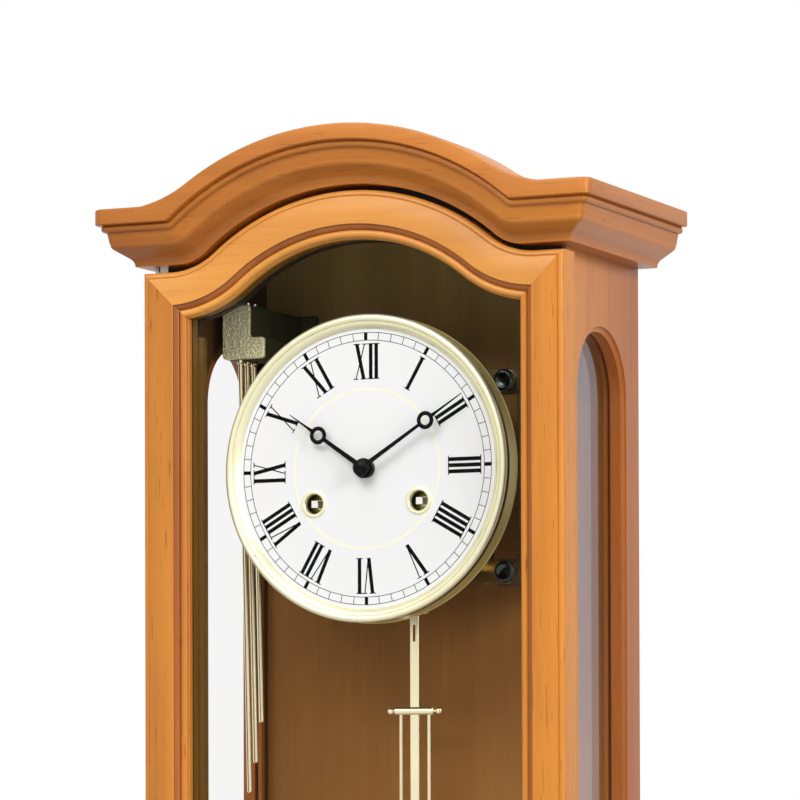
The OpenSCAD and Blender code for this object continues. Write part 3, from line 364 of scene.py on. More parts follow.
# each wood's tones are light, mid and dark
cherryTones = ((217, 141, 54), (206, 128, 45), (154, 80, 26))
cherryUp = woodMaterial("cherryUpright", cherryTones, fleck=0.85)
cherryAcross = woodMaterial("cherryAcross", cherryTones, along="x")
cherryDeep = woodMaterial("cherryFrontToBack", ((199, 124, 47), (186, 110, 38), (149, 79, 27)), along="y")
# the crown's cherry darkens towards its left end: painted shade
crownWood = woodMaterial("crownCherry", ((208, 132, 50), (195, 117, 41), (142, 72, 23)), along="x", fleck=0.6,
                         paintedLight=("X", -0.14, -0.03, (0.76, 0.7, 0.64, 1), grey(1)))
# the door's top rail: a brighter copy of the cherry, painted light for the stronger light on the arch, and
# darker towards its right end as painted shade
litArchWood = woodMaterial("archCherryPaintedLight", ((238, 168, 81), (229, 156, 68), (195, 122, 48)), along="x",
                        paintedLight=("X", 0.0, 0.11, grey(1), (0.82, 0.77, 0.71, 1)))
# the door's hollow: cherry painted darker, as painted shade in the recess
shadedHollowWood = woodMaterial("hollowCherryPaintedShade", ((172, 100, 44), (160, 90, 36), (122, 64, 22)))
beadWood = woodMaterial("beadCherry", ((168, 106, 45), (157, 95, 37), (126, 71, 27)))
# the side boards darken towards the back: painted shade
cherryBoard = woodMaterial("cherrySideBoard", cherryTones, inside=(0.17, 0.22, 0.28, 1),
                           paintedLight=("Y", -0.105, -0.02, grey(1), (0.61, 0.47, 0.41, 1)))
stripWood = woodMaterial("faceStripWood", ((136, 98, 40), (126, 89, 33), (100, 70, 24)))
# the back panel turns grey-olive towards its top: a painted reflection of the haze on the door glass
panelWood = woodMaterial("backPanelWood", ((168, 116, 61), (155, 105, 53), (132, 87, 43)), gloss=0.5,
                         coat=0.0, sheen=0.1, paintedLight=("Z", -0.07, 0.03, grey(1), (1.4, 2.2, 2.6, 1)))
# near-black head board: the board's own dark paint, and painted shade under the crown
darkWood = woodMaterial("darkPaintAndShadeWood", ((52, 40, 32), (40, 30, 24), (26, 20, 16)), along="x", gloss=0.5,
                        coat=0.0)
roofWood = woodMaterial("paleRoofWood", ((252, 248, 240), (248, 242, 230), (236, 226, 208)), along="y",
                        gloss=0.5, coat=0.0)
brownFelt = paintMaterial("brownStrip", (118, 88, 40), 0.8, 0.1, 0.3)
warmBrass = metalMaterial("movementBrass", (214, 184, 120), 0.26, 70.0, 0.06)
rodBrass = metalMaterial("gongRodMetal", (236, 226, 190), 0.26, 50.0, 0.06, (1, 1, 0.05))
pendulumBrass = metalMaterial("pendulumBrass", (254, 244, 204), 0.3, 60.0, 0.03)
plainSteel = metalMaterial("plainSteel", (176, 178, 182), 0.28, 80.0, 0.05)
darkSteel = metalMaterial("blackenedSteel", (62, 70, 68), 0.2, 120.0, 0.05)
goldPaint = hammeredMaterial("hammeredGold")
# the bezel's drum: brighter, less metallic brass, a painted reflection of the bright brass it shows
drumReflectionBrass = metalMaterial("drumReflectionBrass", (232, 222, 146), 0.24, 40.0, 0.03, metal=0.3)
quirkShade = metalMaterial("quirkShade", (92, 70, 34), 0.4, 60.0, 0.04, metal=0.5)
bronzedIron = metalMaterial("bronzedIron", (74, 52, 30), 0.5, 90.0, 0.05, metal=0.3)
# the gong's arm and foot: the casting painted dark olive, as painted shade behind the gold front
shadedCasting = metalMaterial("shadedCasting", (66, 66, 38), 0.6, 400.0, 0.08, metal=0.3)
creamBrass = metalMaterial("creamLacqueredBrass", (252, 247, 208), 0.28, 40.0, 0.02, metal=0.6)
# front plate, hour wheel and cannon pinion: brass painted dark olive, as painted shade behind the dial and in
# the winding holes
shadedBrass = metalMaterial("movementBrassPaintedShade", (120, 108, 50), 0.34, 70.0, 0.06)
winderSteel = metalMaterial("winderSteel", (240, 238, 230), 0.35, 80.0, 0.03, metal=0.6)
doorGlass = glassMaterial("doorGlass", (0.1, 0.1, 0.08, 1), 1.3, 1.3)
sideGlass = glassMaterial("sideGlass", (0.95, 0.9, 1.0, 1), 1.15, 1.52)
dialWhite = paintMaterial("dialWhite", (245, 245, 245), 0.5, 0.3, 0.01)
printBlack = paintMaterial("printBlack", (8, 8, 9), 0.7, 0.05, 0.1)
ringCream = paintMaterial("ringCream", (255, 253, 226), 0.5, 0.3, 0.02)
handBlack = paintMaterial("handBlack", (2, 3, 4), 0.26, 0.1, 0.1)
print("materials made")

# CAD nodes that keep their own solid
for material, names in (
        (cherryBoard, "side_left side_right"),
        (beadWood, "side_glass_beads"),
        (cherryDeep, "bottom_board"),
        (stripWood, "face_strips door_glass_bead"),
        (panelWood, "back_panel hanging_rail"),
        (darkWood, "head_board"),
        (brownFelt, "dust_strips"),
        (roofWood, "roof"),
        (sideGlass, "side_glass"),
        (doorGlass, "door_glass"),
        (plainSteel, "hanger_plate door_pivots door_magnet door_strike gong_screws anchor"),
        (winderSteel, "going_winder strike_winder"),
        (bronzedIron, "movement_brackets"),
        (shadedBrass, "front_plate hour_wheel cannon_pinion"),
        (warmBrass, "wood_screws door_bushes back_plate plate_pillars going_barrel strike_barrel"
                    " second_wheel centre_wheel third_wheel escape_wheel minute_wheel pin_wheel hammers"),
        (dialWhite, "dial_plate")):
    for name in names.split():
        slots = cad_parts[name].material_slots
        for s in slots:
            s.material = material
        if not slots:
            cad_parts[name].data.materials.append(material)

# the three arches: radius of the round, radius of the hollow beside it, height of the level end
arch = {"rise": 18.5, "crown": (126.3, 22.92, 90.3), "crest": (155.4, 70.0, 118.5),
        "open": (98.5, 65.5, 61.8)}


# x where the hollow meets the level end, and the angle where it meets the round
def archJoins(curve):
    r, flare, level = curve
    endX = math.sqrt((r + flare) ** 2 - (level + flare) ** 2)
    return endX, math.atan2(endX, level + flare)


# height over x of an arch moved outwards by q: round r + q, hollow flare - q, level + q
def archHeight(x, curve, q=0.0):
    r, flare, level = curve
    x, endX = np.abs(x), archJoins(curve)[0]
    roundX = (r + q) * endX / (r + flare)
    onRound = np.sqrt(np.maximum((r + q) ** 2 - x ** 2, 0))
    onHollow = level + flare - np.sqrt(np.maximum((flare - q) ** 2 - (endX - x) ** 2, 0))
    return arch["rise"] + np.where(x < roundX, onRound, np.where(x < endX, onHollow, level + q))


# stations along the right half of an arch: points and normals, by angle on the round and the hollow
def archStations(curve, end, roundSteps, hollowSteps):
    r, flare, level = curve
    endX, join = archJoins(curve)
    a = np.linspace(0, join, roundSteps)
    b = np.linspace(join, 0, hollowSteps)[1:]
    x = np.concatenate([r * np.sin(a), endX - flare * np.sin(b), [end]])
    z = np.concatenate([r * np.cos(a), level + flare - flare * np.cos(b), [level]]) + arch["rise"]
    angle = np.concatenate([a, b, [0.0]])
    return x, z, np.sin(angle), np.cos(angle)


# crown and base mouldings
moulding = {"footX": 123.0, "footV": 123.0, "caseX": 112.2, "caseV": 106.5, "out": 17.0, "coveR": 5.0,
            "coveEnd": 62.0, "shoulderR": 3.2, "shoulderIn": 6.4, "shoulderH": 11.2, "fascia": 6.1,
            "fasciaFoot": (0.8, 0.4), "fasciaOut": 1.4, "ledgeOut": 2.6, "bead": 3.5, "beadR": (1.5, 1.7),
            "beadTurn": (-80, 60), "beadOut": 2.4, "bandIn": 2.5, "band": 7.4, "ease": 1.0,
            "cornerRound": 0.32, "roofEdge": 132.0, "roofDrop": 5.0, "roofEase": 0.05, "baseZ": -397.8}


# height and distance out of the moulding: a hollow, a round shoulder, a fascia and a small bead
def mouldingLine(m):
    out, top = m["out"] - m["shoulderIn"], m["shoulderH"] + m["fascia"]
    cove = arc((0, m["coveR"]), m["coveR"], -90, m["coveEnd"] - 90, 9)
    shoulder = arc((m["shoulderH"], out - m["shoulderR"]), m["shoulderR"], m["coveEnd"] + 90, 90, 9)
    fascia = [[m["shoulderH"] + m["fasciaFoot"][0], out + m["fasciaFoot"][1]], [top, out + m["fasciaOut"]],
              [top, out + m["ledgeOut"]]]
    bead = arc((out + m["beadOut"], top + m["bead"] / 2), m["beadR"], *m["beadTurn"], 8)[:, ::-1]
    return np.concatenate([cove, shoulder, fascia, bead, [[top + m["bead"], m["out"] - m["bandIn"]]]])


mouldLine = mouldingLine(moulding)
mouldH = mouldLine[-1, 0]


# a moulding and the plain band beside it, as one front with mitred ends and two sides; foot holds x, z
# and normal along the moulding, band holds x, both heights and normal; up is 1, or -1 upside down
def mouldingPieces(prefix, base, up, foot, band):
    m, e = moulding, moulding["ease"]
    # both sections start and end inside the case, at its front or at its side
    frontIn, sideIn = m["caseV"] - m["footV"], m["caseX"] - m["footX"]
    frontOut, sideOut = [np.concatenate([[inner], mouldLine[:, 1], [inner]]) for inner in (frontIn, sideIn)]
    h = np.concatenate([[0.0], mouldLine[:, 0], [mouldH]])
    t = np.radians(np.linspace(0, 90, 5))
    eased = np.concatenate([[m["out"] - 0.5 * e, m["out"]], m["out"] - e * (1 - np.cos(t))])
    bandFront, bandSide = [np.concatenate([[inner], eased, [inner]]) for inner in (frontIn, sideIn)]
    # round the corner the section turns, and its edges are rounded by a share of how far they stand out
    def corner(turns, out, z):
        turns = np.radians(turns)[:, None]
        rho = m["cornerRound"] * np.maximum(out, 0)
        x, v = m["footX"] + out - rho + rho * np.sin(turns), m["footV"] + out - rho + rho * np.cos(turns)
        return place(x, v, z)
    # and along the side it runs straight to the wall
    def sideRun(out, z):
        return place(m["footX"] + out, np.array([[m["caseV"]], [0.0]]), z)
    x, z, nx, nz = [column[:, None] for column in foot]
    right = place(x + h * nx, m["footV"] + frontOut, z + up * h * nz)
    x, low, high, nx, nz = [column[:, None] for column in band]
    topIn = e * (1 - np.sin(t))
    xs = np.concatenate([x + np.zeros(3), x - topIn * nx, x], 1)
    zs = np.concatenate([low + up * np.array([0, 0, 0.5 * e]), high - up * topIn * nz, high], 1)
    rightBand = place(xs, m["footV"] + bandFront, zs)
    turns = np.linspace(0, 45, 6)
    shells = [bothHalves(np.concatenate([right, corner(turns, sideOut, base + up * h)])),
              bothHalves(np.concatenate([rightBand, corner(turns, bandSide, zs[-1])]))]
    buildPiece(prefix + "Front", shells, crownWood, "case", [prefix + "_front"])
    turns = np.linspace(45, 90, 6)
    side, sideBand = [np.concatenate([corner(turns, out, z), sideRun(out, z)])
                      for out, z in ((sideOut, base + up * h), (bandSide, zs[-1]))]
    shells = [carried(side)]
    if up > 0:
        # behind the front the band is only as wide as the roof leaves it
        rim = sideRun(np.maximum(bandSide, m["roofEdge"] - m["footX"]), zs[-1])
        bed = block((m["caseX"], 0.0, base + up * mouldH),
                    (m["roofEdge"], m["caseV"], zs[-1, -1] - m["roofDrop"]), m["roofEase"])
        shells += [carried(sideBand[:-1]), carried(rim), bed]
    else:
        shells.append(carried(sideBand))
    buildPiece(prefix + "Right", shells, cherryDeep, "case", [prefix + "_right"])
    shells = [(points * np.array([-1, 1, 1]), faces) for points, faces in shells]
    buildPiece(prefix + "Left", shells, cherryDeep, "case", [prefix + "_left"])


crownFoot = archStations(arch["crown"], moulding["caseX"], 40, 14)
crest = archStations(arch["crest"], moulding["caseX"], 50, 20)
crestX = np.minimum(crest[0], moulding["caseX"])
mouldingPieces("crown", arch["rise"] + arch["crown"][2], 1, crownFoot,
               (crestX, archHeight(crestX, arch["crown"], mouldH), archHeight(crestX, arch["crest"]),
                *crest[2:]))
flatX, flatZ = np.array([0.0, moulding["caseX"]]), np.full(2, moulding["baseZ"])
mouldingPieces("base", moulding["baseZ"], -1, (flatX, flatZ, np.zeros(2), np.ones(2)),
               (flatX, flatZ - mouldH, flatZ - mouldH - moulding["band"], np.zeros(2), np.ones(2)))
print("mouldings made")

# door; the painted shade covers the columns of its section from the step's side to the bead
door = {"half": 118.9, "open": 94.0, "frame": 24.9, "back": 106.9, "front": 122.5, "lip": 115.0,
        "levelZ": 105.2, "bottom": -394.2, "edge": 2.4, "seam": 0.006,
        "grooveIn": (2.75, 2.95, 3.2, 3.4, 3.6), "grooveDeep": (0.15, 0.55, 0.55, 0.1, 0.0),
        "step": 7.4, "stepEase": 0.2, "stepDeep": 0.9, "hollow": (7.2, 2.85), "hollowR": (2.6, 1.9),
        "hollowTurn": 80.2141, "bead": (2.5, 3.6), "beadR": 2.05, "beadTurn": (25, 195), "insideDeep": 4.6,
        "rebate": 5.0, "shadeColumns": (14, 22), "pastRound": 80.0}


# section of the door's frame as distance out from the opening and distance from the wall:
# a rounded outer edge with a groove beside it, a flat face, a small step, a hollow and a bead
def doorSection(d):
    f, w = d["front"], d["frame"]
    outer = arc((w - d["edge"], f - d["edge"]), d["edge"], 0, 90, 8)
    groove = np.stack([w - np.array(d["grooveIn"]), f - np.array(d["grooveDeep"])], 1)
    step = [[d["step"] + d["stepEase"], f], [d["step"], f - d["stepEase"]], [d["step"], f - d["stepDeep"]]]
    hollow = arc((d["hollow"][0], f - d["hollow"][1]), d["hollowR"], 90, 90 + d["hollowTurn"], 7)
    bead = arc((d["bead"][0], f - d["bead"][1]), d["beadR"], *d["beadTurn"], 14)
    back = [[0.0, f - d["insideDeep"]], [0.0, d["lip"]], [d["rebate"], d["lip"]], [d["rebate"], d["back"]],
            [w, d["back"]]]
    return np.concatenate([outer, groove, step, hollow, bead, back])


section = doorSection(door)
q, sectionV = section[:, 0], section[:, 1]


# height of the mitre over x: it rises at 45 degrees to the frame's outer corner
def mitreHeight(x):
    return door["levelZ"] - door["half"] + x


# x where the arch of the opening, moved outwards by q, meets the mitre: the interval is halved 40 times
def mitreX():
    low, high = np.full(len(q), door["pastRound"]), np.full(len(q), door["half"] + 2)
    for halving in range(40):
        mid = (low + high) / 2
        above = archHeight(mid, arch["open"], q) > mitreHeight(mid)
        low, high = np.where(above, mid, low), np.where(above, high, mid)
    return low


# the round goes by angle, and the rest by equal steps in x from the round to the mitre
def doorTopRail():
    r, join = arch["open"][0], archJoins(arch["open"])[1]
    a = np.linspace(0, join, 44)[:, None]
    start, end = (r + q) * np.sin(join), mitreX() - door["seam"]
    beyond = start + (end - start) * np.linspace(0, 1, 26)[1:, None]
    x = np.concatenate([(r + q) * np.sin(a), beyond])
    z = np.concatenate([arch["rise"] + (r + q) * np.cos(a), archHeight(beyond, arch["open"], q)])
    return [bothHalves(place(x, sectionV, z))]


# the section carried upright from the lower mitre to the upper one
def doorStile(side):
    x = door["open"] + q
    top, low = mitreHeight(x) - door["seam"], door["bottom"] + door["frame"] - q + door["seam"]
    return [carried(place(x * side, sectionV, np.stack([low, top])))]


# the section carried across from mitre to mitre
def doorBottomRail():
    x = door["open"] + q - door["seam"]
    return [carried(place(np.stack([-x, x]), sectionV, door["bottom"] + door["frame"] - q))]


# the hollow beside the bead is painted darker, as painted shade; its faces are the same columns in every row
def shadeHollow(piece):
    column = np.arange(len(piece.data.polygons)) % len(section)
    piece.data.materials.append(shadedHollowWood)
    paintFaces(piece, (column >= door["shadeColumns"][0]) & (column <= door["shadeColumns"][1]))


for name, shells, wood, replacedNode in (
        ("doorTopRail", doorTopRail(), litArchWood, "door_top_rail"),
        ("doorLeftStile", doorStile(-1), cherryUp, "door_left_stile"),
        ("doorRightStile", doorStile(1), cherryUp, "door_right_stile"),
        ("doorBottomRail", doorBottomRail(), cherryAcross, "door_bottom_rail")):
    shadeHollow(buildPiece(name, shells, wood, "door", [replacedNode]))
print("door made")

# dial; the offsets set the strokes and serifs of V and X inside their widths
dial = {"face": 101.1, "sunk": 0.02, "print": 0.04, "ringPrint": 0.03, "trackOut": 70.6, "trackIn": 66.6,
        "line": 0.32, "tick": 0.34, "fiveTick": 1.9, "ringR": 41.4, "ringWidth": 1.2, "numeralLow": 46.3,
        "numeralHigh": 64.9, "thick": 2.0, "thin": 0.6, "serif": 0.5, "serifMore": 1.7, "serifThin": 2.8,
        "letterGap": 1.15, "vWidth": 6.7, "vFoot": (0.2, 0.5), "vThick": 0.4, "vThin": 0.9,
        "vSerifMore": 1.9, "xWidth": 7.6, "xThick": 0.8, "xThin": 1.3}


# flat ring of the given width about a radius
def flatRing(r, width, v0, v1):
    r0, r1 = r - width / 2, r + width / 2
    return turned([(r0, v0), (r1, v0), (r1, v1), (r0, v1), (r0, v0)], steps=180)


# bars in the dial's own plane, given as (K, 4, 2) corners, turned clockwise by an angle each
def printedBars(corners, angles):
    c, s = np.cos(angles)[:, None], np.sin(angles)[:, None]
    x = corners[..., 0] * c + corners[..., 1] * s
    z = -corners[..., 0] * s + corners[..., 1] * c
    low = place(x, dial["face"] - dial["sunk"], z)
    high = place(x, dial["face"] + dial["print"], z)
    points = np.concatenate([low, high], axis=1).reshape(-1, 3)
    cell = np.array([[0, 1, 2, 3], [4, 5, 6, 7], [0, 1, 5, 4], [1, 2, 6, 5], [2, 3, 7, 6], [3, 0, 4, 7]])
    faces = (cell[None] + 8 * np.arange(len(corners))[:, None, None]).reshape(-1, 4).tolist()
    return points, faces


# strokes of one numeral, centred on x = 0, between its foot and its head
def numeralStrokes(word, d):
    height, thick, thin = d["numeralHigh"] - d["numeralLow"], d["thick"], d["thin"]
    widths = {"I": thick, "V": d["vWidth"], "X": d["xWidth"]}
    quads, head, wide = [], height - d["serif"], thick + d["serifMore"]
    def bar(x0, x1, w, z0=0, z1=height):
        quads.append([[x0 - w / 2, z0], [x0 + w / 2, z0], [x1 + w / 2, z1], [x1 - w / 2, z1]])
    def serif(x, z, w):
        bar(x, x, w, z, z + d["serif"])
    left = -(sum(widths[c] for c in word) + d["letterGap"] * (len(word) - 1)) / 2
    for c in word:
        right = left + widths[c]
        middle = (left + right) / 2
        if c == "I":
            bar(middle, middle, thick)
            serif(middle, 0, wide)
            serif(middle, head, wide)
        if c == "V":
            thickTop, thinTop = left + thick / 2 + d["vThick"], right - d["vThin"]
            bar(middle + d["vFoot"][0], thickTop, thick)
            bar(middle + d["vFoot"][1], thinTop, thin)
            serif(thickTop, head, thick + d["vSerifMore"])
            serif(thinTop, head, d["serifThin"])
        if c == "X":
            thickIn, thinIn = thick / 2 + d["xThick"], d["xThin"]
            bar(right - thickIn, left + thickIn, thick)
            bar(left + thinIn, right - thinIn, thin)
            serif(left + thickIn, head, wide)
            serif(right - thickIn, 0, wide)
            serif(right - thinIn, head, d["serifThin"])
            serif(left + thinIn, 0, d["serifThin"])
        left = right + d["letterGap"]
    quads = np.array(quads)
    quads[..., 1] += d["numeralLow"]
    return quads


# two thin rings with a bar between them at each minute, and a numeral turned to each hour
def dialPrint(d):
    shells = [flatRing(r, d["line"], d["face"] - d["sunk"], d["face"] + d["print"])
              for r in (d["trackOut"], d["trackIn"])]
    minutes = np.arange(60)
    width = np.where(minutes % 5 == 0, d["fiveTick"], d["tick"])
    x = np.stack([-width / 2, width / 2, width / 2, -width / 2], 1)
    z = np.tile([d["trackIn"], d["trackIn"], d["trackOut"], d["trackOut"]], (60, 1))
    shells.append(printedBars(np.stack([x, z], -1), minutes * math.pi / 30))
    words = ["XII", "I", "II", "III", "IIII", "V", "VI", "VII", "VIII", "IX", "X", "XI"]
    for hour, word in enumerate(words):
        quads = numeralStrokes(word, d)
        shells.append(printedBars(quads, np.full(len(quads), hour * math.pi / 6)))
    return shells


buildPiece("dialPrint", dialPrint(dial), printBlack, "case", (), 20)
ringV = dial["face"] - dial["sunk"], dial["face"] + dial["ringPrint"]
buildPiece("dialRing", [flatRing(dial["ringR"], dial["ringWidth"], *ringV)], ringCream, "case", (),
           20)

# bezel: an inner slope, a small quirk, a polished round, a groove behind it and a drum with a rolled rear
# edge; the last four values bound the faces of the groove and the drum by radius and height over the dial
bezel = {"sight": 72.7, "slopeEnd": 76.0, "slopeRise": 2.5, "slopeFoot": 0.35, "slopeTurn": 1.5,
         "quirk": 0.12, "roundR": 2.0, "roundRise": 1.9, "roundTurn": (165, -15), "out": 80.0,
         "grooveIn": 2.4, "grooveTop": 0.9, "grooveLow": 1.9, "drumTop": 2.3, "drumIn": 0.25, "drum": 12.6,
         "wall": 3.2, "rear": 1.5, "rearIn": 0.7, "rearRise": (0.2, 0.05), "rollTurn": (100, -60),
         "markIn": 77.2, "markOut": 79.95, "markTop": 0.95, "markLow": 2.2}


# radius and distance from the wall: the slope rises as a sine, the round and the rear edge are arcs
def bezelProfile(b, f):
    t = np.linspace(0, 1, 8)
    slope = np.stack([b["sight"] + (b["slopeEnd"] - b["sight"]) * t,
                      f + b["slopeFoot"] + b["slopeRise"] * np.sin(t * b["slopeTurn"])], 1)
    polished = arc((b["out"] - b["roundR"], f + b["roundRise"]), b["roundR"], *b["roundTurn"], 20)
    grooveR, drumR, wallR = b["out"] - b["grooveIn"], b["out"] - b["drumIn"], b["out"] - b["wall"]
    back, rollR = f - b["drum"], b["rear"] / 2
    drumLow, rearTop = [back + b["rear"] + rise for rise in b["rearRise"]]
    roll = arc((b["out"] - rollR, back + rollR), rollR, *b["rollTurn"], 8)
    return [[b["sight"], f], *slope.tolist(), [b["slopeEnd"] + b["quirk"], f + b["slopeRise"]],
            *polished.tolist(), [grooveR, f + b["grooveTop"]], [grooveR, f - b["grooveLow"]],
            [drumR, f - b["drumTop"]], [drumR, drumLow], [b["out"] - b["rearIn"], rearTop],
            *roll.tolist(), [wallR, back], [wallR, f], [b["sight"], f]]


ring = buildPiece("bezelRing", [turned(bezelProfile(bezel, dial["face"]), steps=256)], creamBrass, "case",
                  ["bezel"], 28)
ring.data.materials.append(quirkShade)  # the groove behind the round is painted dark, as painted shade
ring.data.materials.append(drumReflectionBrass)  # and the drum behind it is duller brass, painted brighter as a painted reflection
x, v, z = faceMiddles(ring)
radius, rise = np.hypot(x, z), v - dial["face"]
outside, drum = radius > bezel["markIn"], rise <= -bezel["markLow"]
groove = outside & ~drum & (rise < bezel["markTop"]) & (radius < bezel["markOut"])
paintFaces(ring, np.where(groove, 1, np.where(outside & drum, 2, 0)))

collar = {"x": 29.8, "z": -17.5, "hole": 5.2, "out": 7.2, "back": 98.6, "lip": (0.9, 0.8),
          "boreEase": (0.35, 0.4), "rise": 0.7}


# radius and distance from the wall: a straight bore, a flat face and a quarter of an ellipse outside it
def collarProfile(c, f):
    wide = c["lip"][0]
    lip = arc((c["out"] - wide, f), c["lip"], 90, 0, 8)
    r, back, top = c["hole"], c["back"], f + c["rise"]
    easeR, easeV = c["boreEase"]
    return [[r, back], [r, top - easeV], [r + easeR, top], *lip.tolist(), [r + wide, f], [r + wide, back],
            [r, back]]


collarLine = collarProfile(collar, dial["face"])
collars = [turned(collarLine, (side * collar["x"], collar["z"]), 64) for side in (-1, 1)]
buildPiece("windingCollars", collars, creamBrass, "case", ["winding_collars"])

# hands: a tapering stem, an open ring and a fine tip, all with eased edges, at 9.55 minutes past ten
minutesPast = 9.55
hands = {"hour": dict(v=104.4, ring=31.4, length=51.2, stem=1.35, neck=1.0, turn=300 + minutesPast / 2,
                      hub=(3.0, 5.2)),
         "minute": dict(v=106.8, ring=43.0, length=67.2, stem=1.2, neck=0.8, turn=minutesPast * 6,
                        hub=(1.95, 4.4)),
         "ringR": 4.7, "ringWidth": 2.2, "thick": 0.8, "stemFoot": 0.6, "stemLap": 0.5, "tipLap": 0.4,
         "tipW": (0.95, 0.62, 0.14), "tipWaist": 2.5, "stemBevel": 0.25, "tipBevel": 0.12, "hubEase": 0.2}
nut = {"back": 107.6, "foot": 4.0, "r": 4.3, "footEase": (107.8, 108.3), "dome": 1.85}


# outlines drawn upwards and turned clockwise by the hand's angle, an ellipse turned about the ring's own
# middle, and a short pipe about the arbor
def handShells(h):
    a, v0, v1 = math.radians(h["turn"]), h["v"], h["v"] + hands["thick"]
    ringR, width, ring = hands["ringR"], hands["ringWidth"], h["ring"]
    def turnedOutline(points):
        x, z = np.array(points).T
        return np.stack([x * math.cos(a) + z * math.sin(a), -x * math.sin(a) + z * math.cos(a)], 1)
    foot, top = h["hub"][0] + hands["stemFoot"], ring - ringR + hands["stemLap"]
    stem = turnedOutline([(-h["stem"], foot), (h["stem"], foot), (h["neck"], top), (-h["neck"], top)])
    wide, waist, point = hands["tipW"]
    foot, middle = ring + ringR - hands["tipLap"], ring + ringR + hands["tipWaist"]
    tip = turnedOutline([(-wide, foot), (wide, foot), (waist, middle), (point, h["length"]),
                         (-point, h["length"]), (-waist, middle)])
    wire = arc((ringR - width / 2, (v0 + v1) / 2), (width / 2, hands["thick"] / 2), 0, 360, 13)
    (r0, r1), e = h["hub"], hands["hubEase"]
    return [plate(stem, v0, v1, hands["stemBevel"]), plate(tip, v0, v1, hands["tipBevel"]),
            turned(wire, (ring * math.sin(a), ring * math.cos(a)), 56),
            turned([(r0, v0), (r1, v0), (r1, v1 - e), (r1 - e, v1), (r0, v1), (r0, v0)], steps=64)]


buildPiece("hourHand", handShells(hands["hour"]), handBlack, "hour_hand", ["hour_hand"])
buildPiece("minuteHand", handShells(hands["minute"]), handBlack, "minute_hand", ["minute_hand"])
dome = arc((0, nut["footEase"][1]), (nut["r"], nut["dome"]), 0, 90, 10)
nutLine = [[0, nut["back"]], [nut["foot"], nut["back"]], *[[nut["r"], v] for v in nut["footEase"]],
           *dome.tolist()]
buildPiece("handNut", [turned(nutLine, steps=64)], handBlack, "minute_hand", ["hand_nut"])
print("dial and hands made")

# gong: a rough casting, an L in front view, with a long arm back to the panel and three rods below;
# the lumps are a coarse field and a fine one, whose depth and cells are shares of the first's
gong = {"left": -93.3, "right": -76.9, "trayRight": -68.2, "low": 62.4, "step": 74.0, "top": 91.7,
        "front": 81.2, "trayBack": 55.5, "panel": 12.5, "footDeep": 5.0, "inset": 0.3, "lap": 1.0,
        "armEase": 0.8, "footEase": 1.0, "round": 2.3, "roundDeep": 0.6, "sideStart": 0.4, "sideStep": 0.5,
        "dent": 0.24, "cell": 1.1, "seed": 1.0, "fineDent": 0.8, "fineCell": 0.6, "fineSeed": 4.0,
        "goldDepth": 2.0, "heart": (8.3, 5.8), "heartShare": 0.02, "rimShare": 0.93, "spacing": 0.34,
        "x": -84.0, "v": 77.5, "pitch": 8.0, "rodR": 1.4, "collarR": 2.0,
        "collarLine": ((-0.1, -0.2), (0.0, 0.0), (0.0, 1.6), (-0.3, 2.0)), "neck": 2.2,
        "tipLine": ((0.0, 1.5), (-0.4, 1.05)), "end": 1.0, "length": 231.0, "cut": 13.0, "cutMore": 2.9,
        "lean": 2.4}


# lumpy field over points in mm: random values at the corners of cells, blended by smooth steps
def lumps(p, cell, seed):
    c = np.floor(p / cell)
    t = p / cell - c
    t = t * t * (3 - 2 * t)
    total = np.zeros(p.shape[:-1])
    for corner in np.ndindex(2, 2, 2):
        k = np.array(corner)
        h = np.sin((c + k) @ np.array([127.1, 311.7, 74.7]) + seed) * 43758.5453
        total += (h - np.floor(h)) * np.prod(np.where(k == 1, t, 1 - t), axis=-1)
    return total


# outline sampled evenly and averaged around each point, which rounds its corners
def softOutline(corners, spacing, radius):
    p = np.array(corners, float)
    d = np.roll(p, -1, 0) - p
    n = np.maximum((np.linalg.norm(d, axis=1) / spacing).astype(int), 2)
    line = np.concatenate([a + v * np.linspace(0, 1, k, endpoint=False)[:, None] for a, v, k in zip(p, d, n)])
    reach = max(int(radius / spacing), 1)
    return np.mean([np.roll(line, k, 0) for k in range(-reach, reach + 1)], axis=0)


# the casting's front part: rings shrink towards a point inside the L, then run back along the sides,
# and every point sinks by the lumpy field
def gongFront(g):
    outline = softOutline([(g["left"], g["low"]), (g["trayRight"], g["low"]), (g["trayRight"], g["step"]),
                           (g["right"], g["step"]), (g["right"], g["top"]), (g["left"], g["top"])],
                          g["spacing"], g["round"])
    heart = np.array([g["left"] + g["heart"][0], g["low"] + g["heart"][1]])
    t = np.radians(np.linspace(90, 0, 6))[1:]
    rim, roundV = g["rimShare"], g["round"] * g["roundDeep"]
    face = np.linspace(g["heartShare"], rim, 44)
    sides = np.arange(g["front"] - roundV - g["sideStart"], g["trayBack"], -g["sideStep"])
    share = np.concatenate([face, rim + (1 - rim) * np.cos(t), np.ones(len(sides))])
    v = np.concatenate([np.full(len(face), g["front"]), g["front"] - roundV * (1 - np.sin(t)), sides])
    grid = heart + (outline - heart)[None] * share[:, None, None]
    depth = v[:, None] + 0 * grid[..., 0]
    spots = np.stack([grid[..., 0], depth, grid[..., 1]], -1)
    fine = lumps(spots, g["cell"] * g["fineCell"], g["fineSeed"])
    sink = g["dent"] * (lumps(spots, g["cell"], g["seed"]) + g["fineDent"] * fine)
    onSide = np.clip((share - rim) / (1 - rim), 0, 1)[:, None]
    inward = (grid - heart) / np.maximum(np.linalg.norm(grid - heart, axis=-1), 1e-6)[..., None]
    grid = grid - inward * (sink * onSide)[..., None]
    return carried(place(grid[..., 0], depth - sink * (1 - onSide), grid[..., 1]))


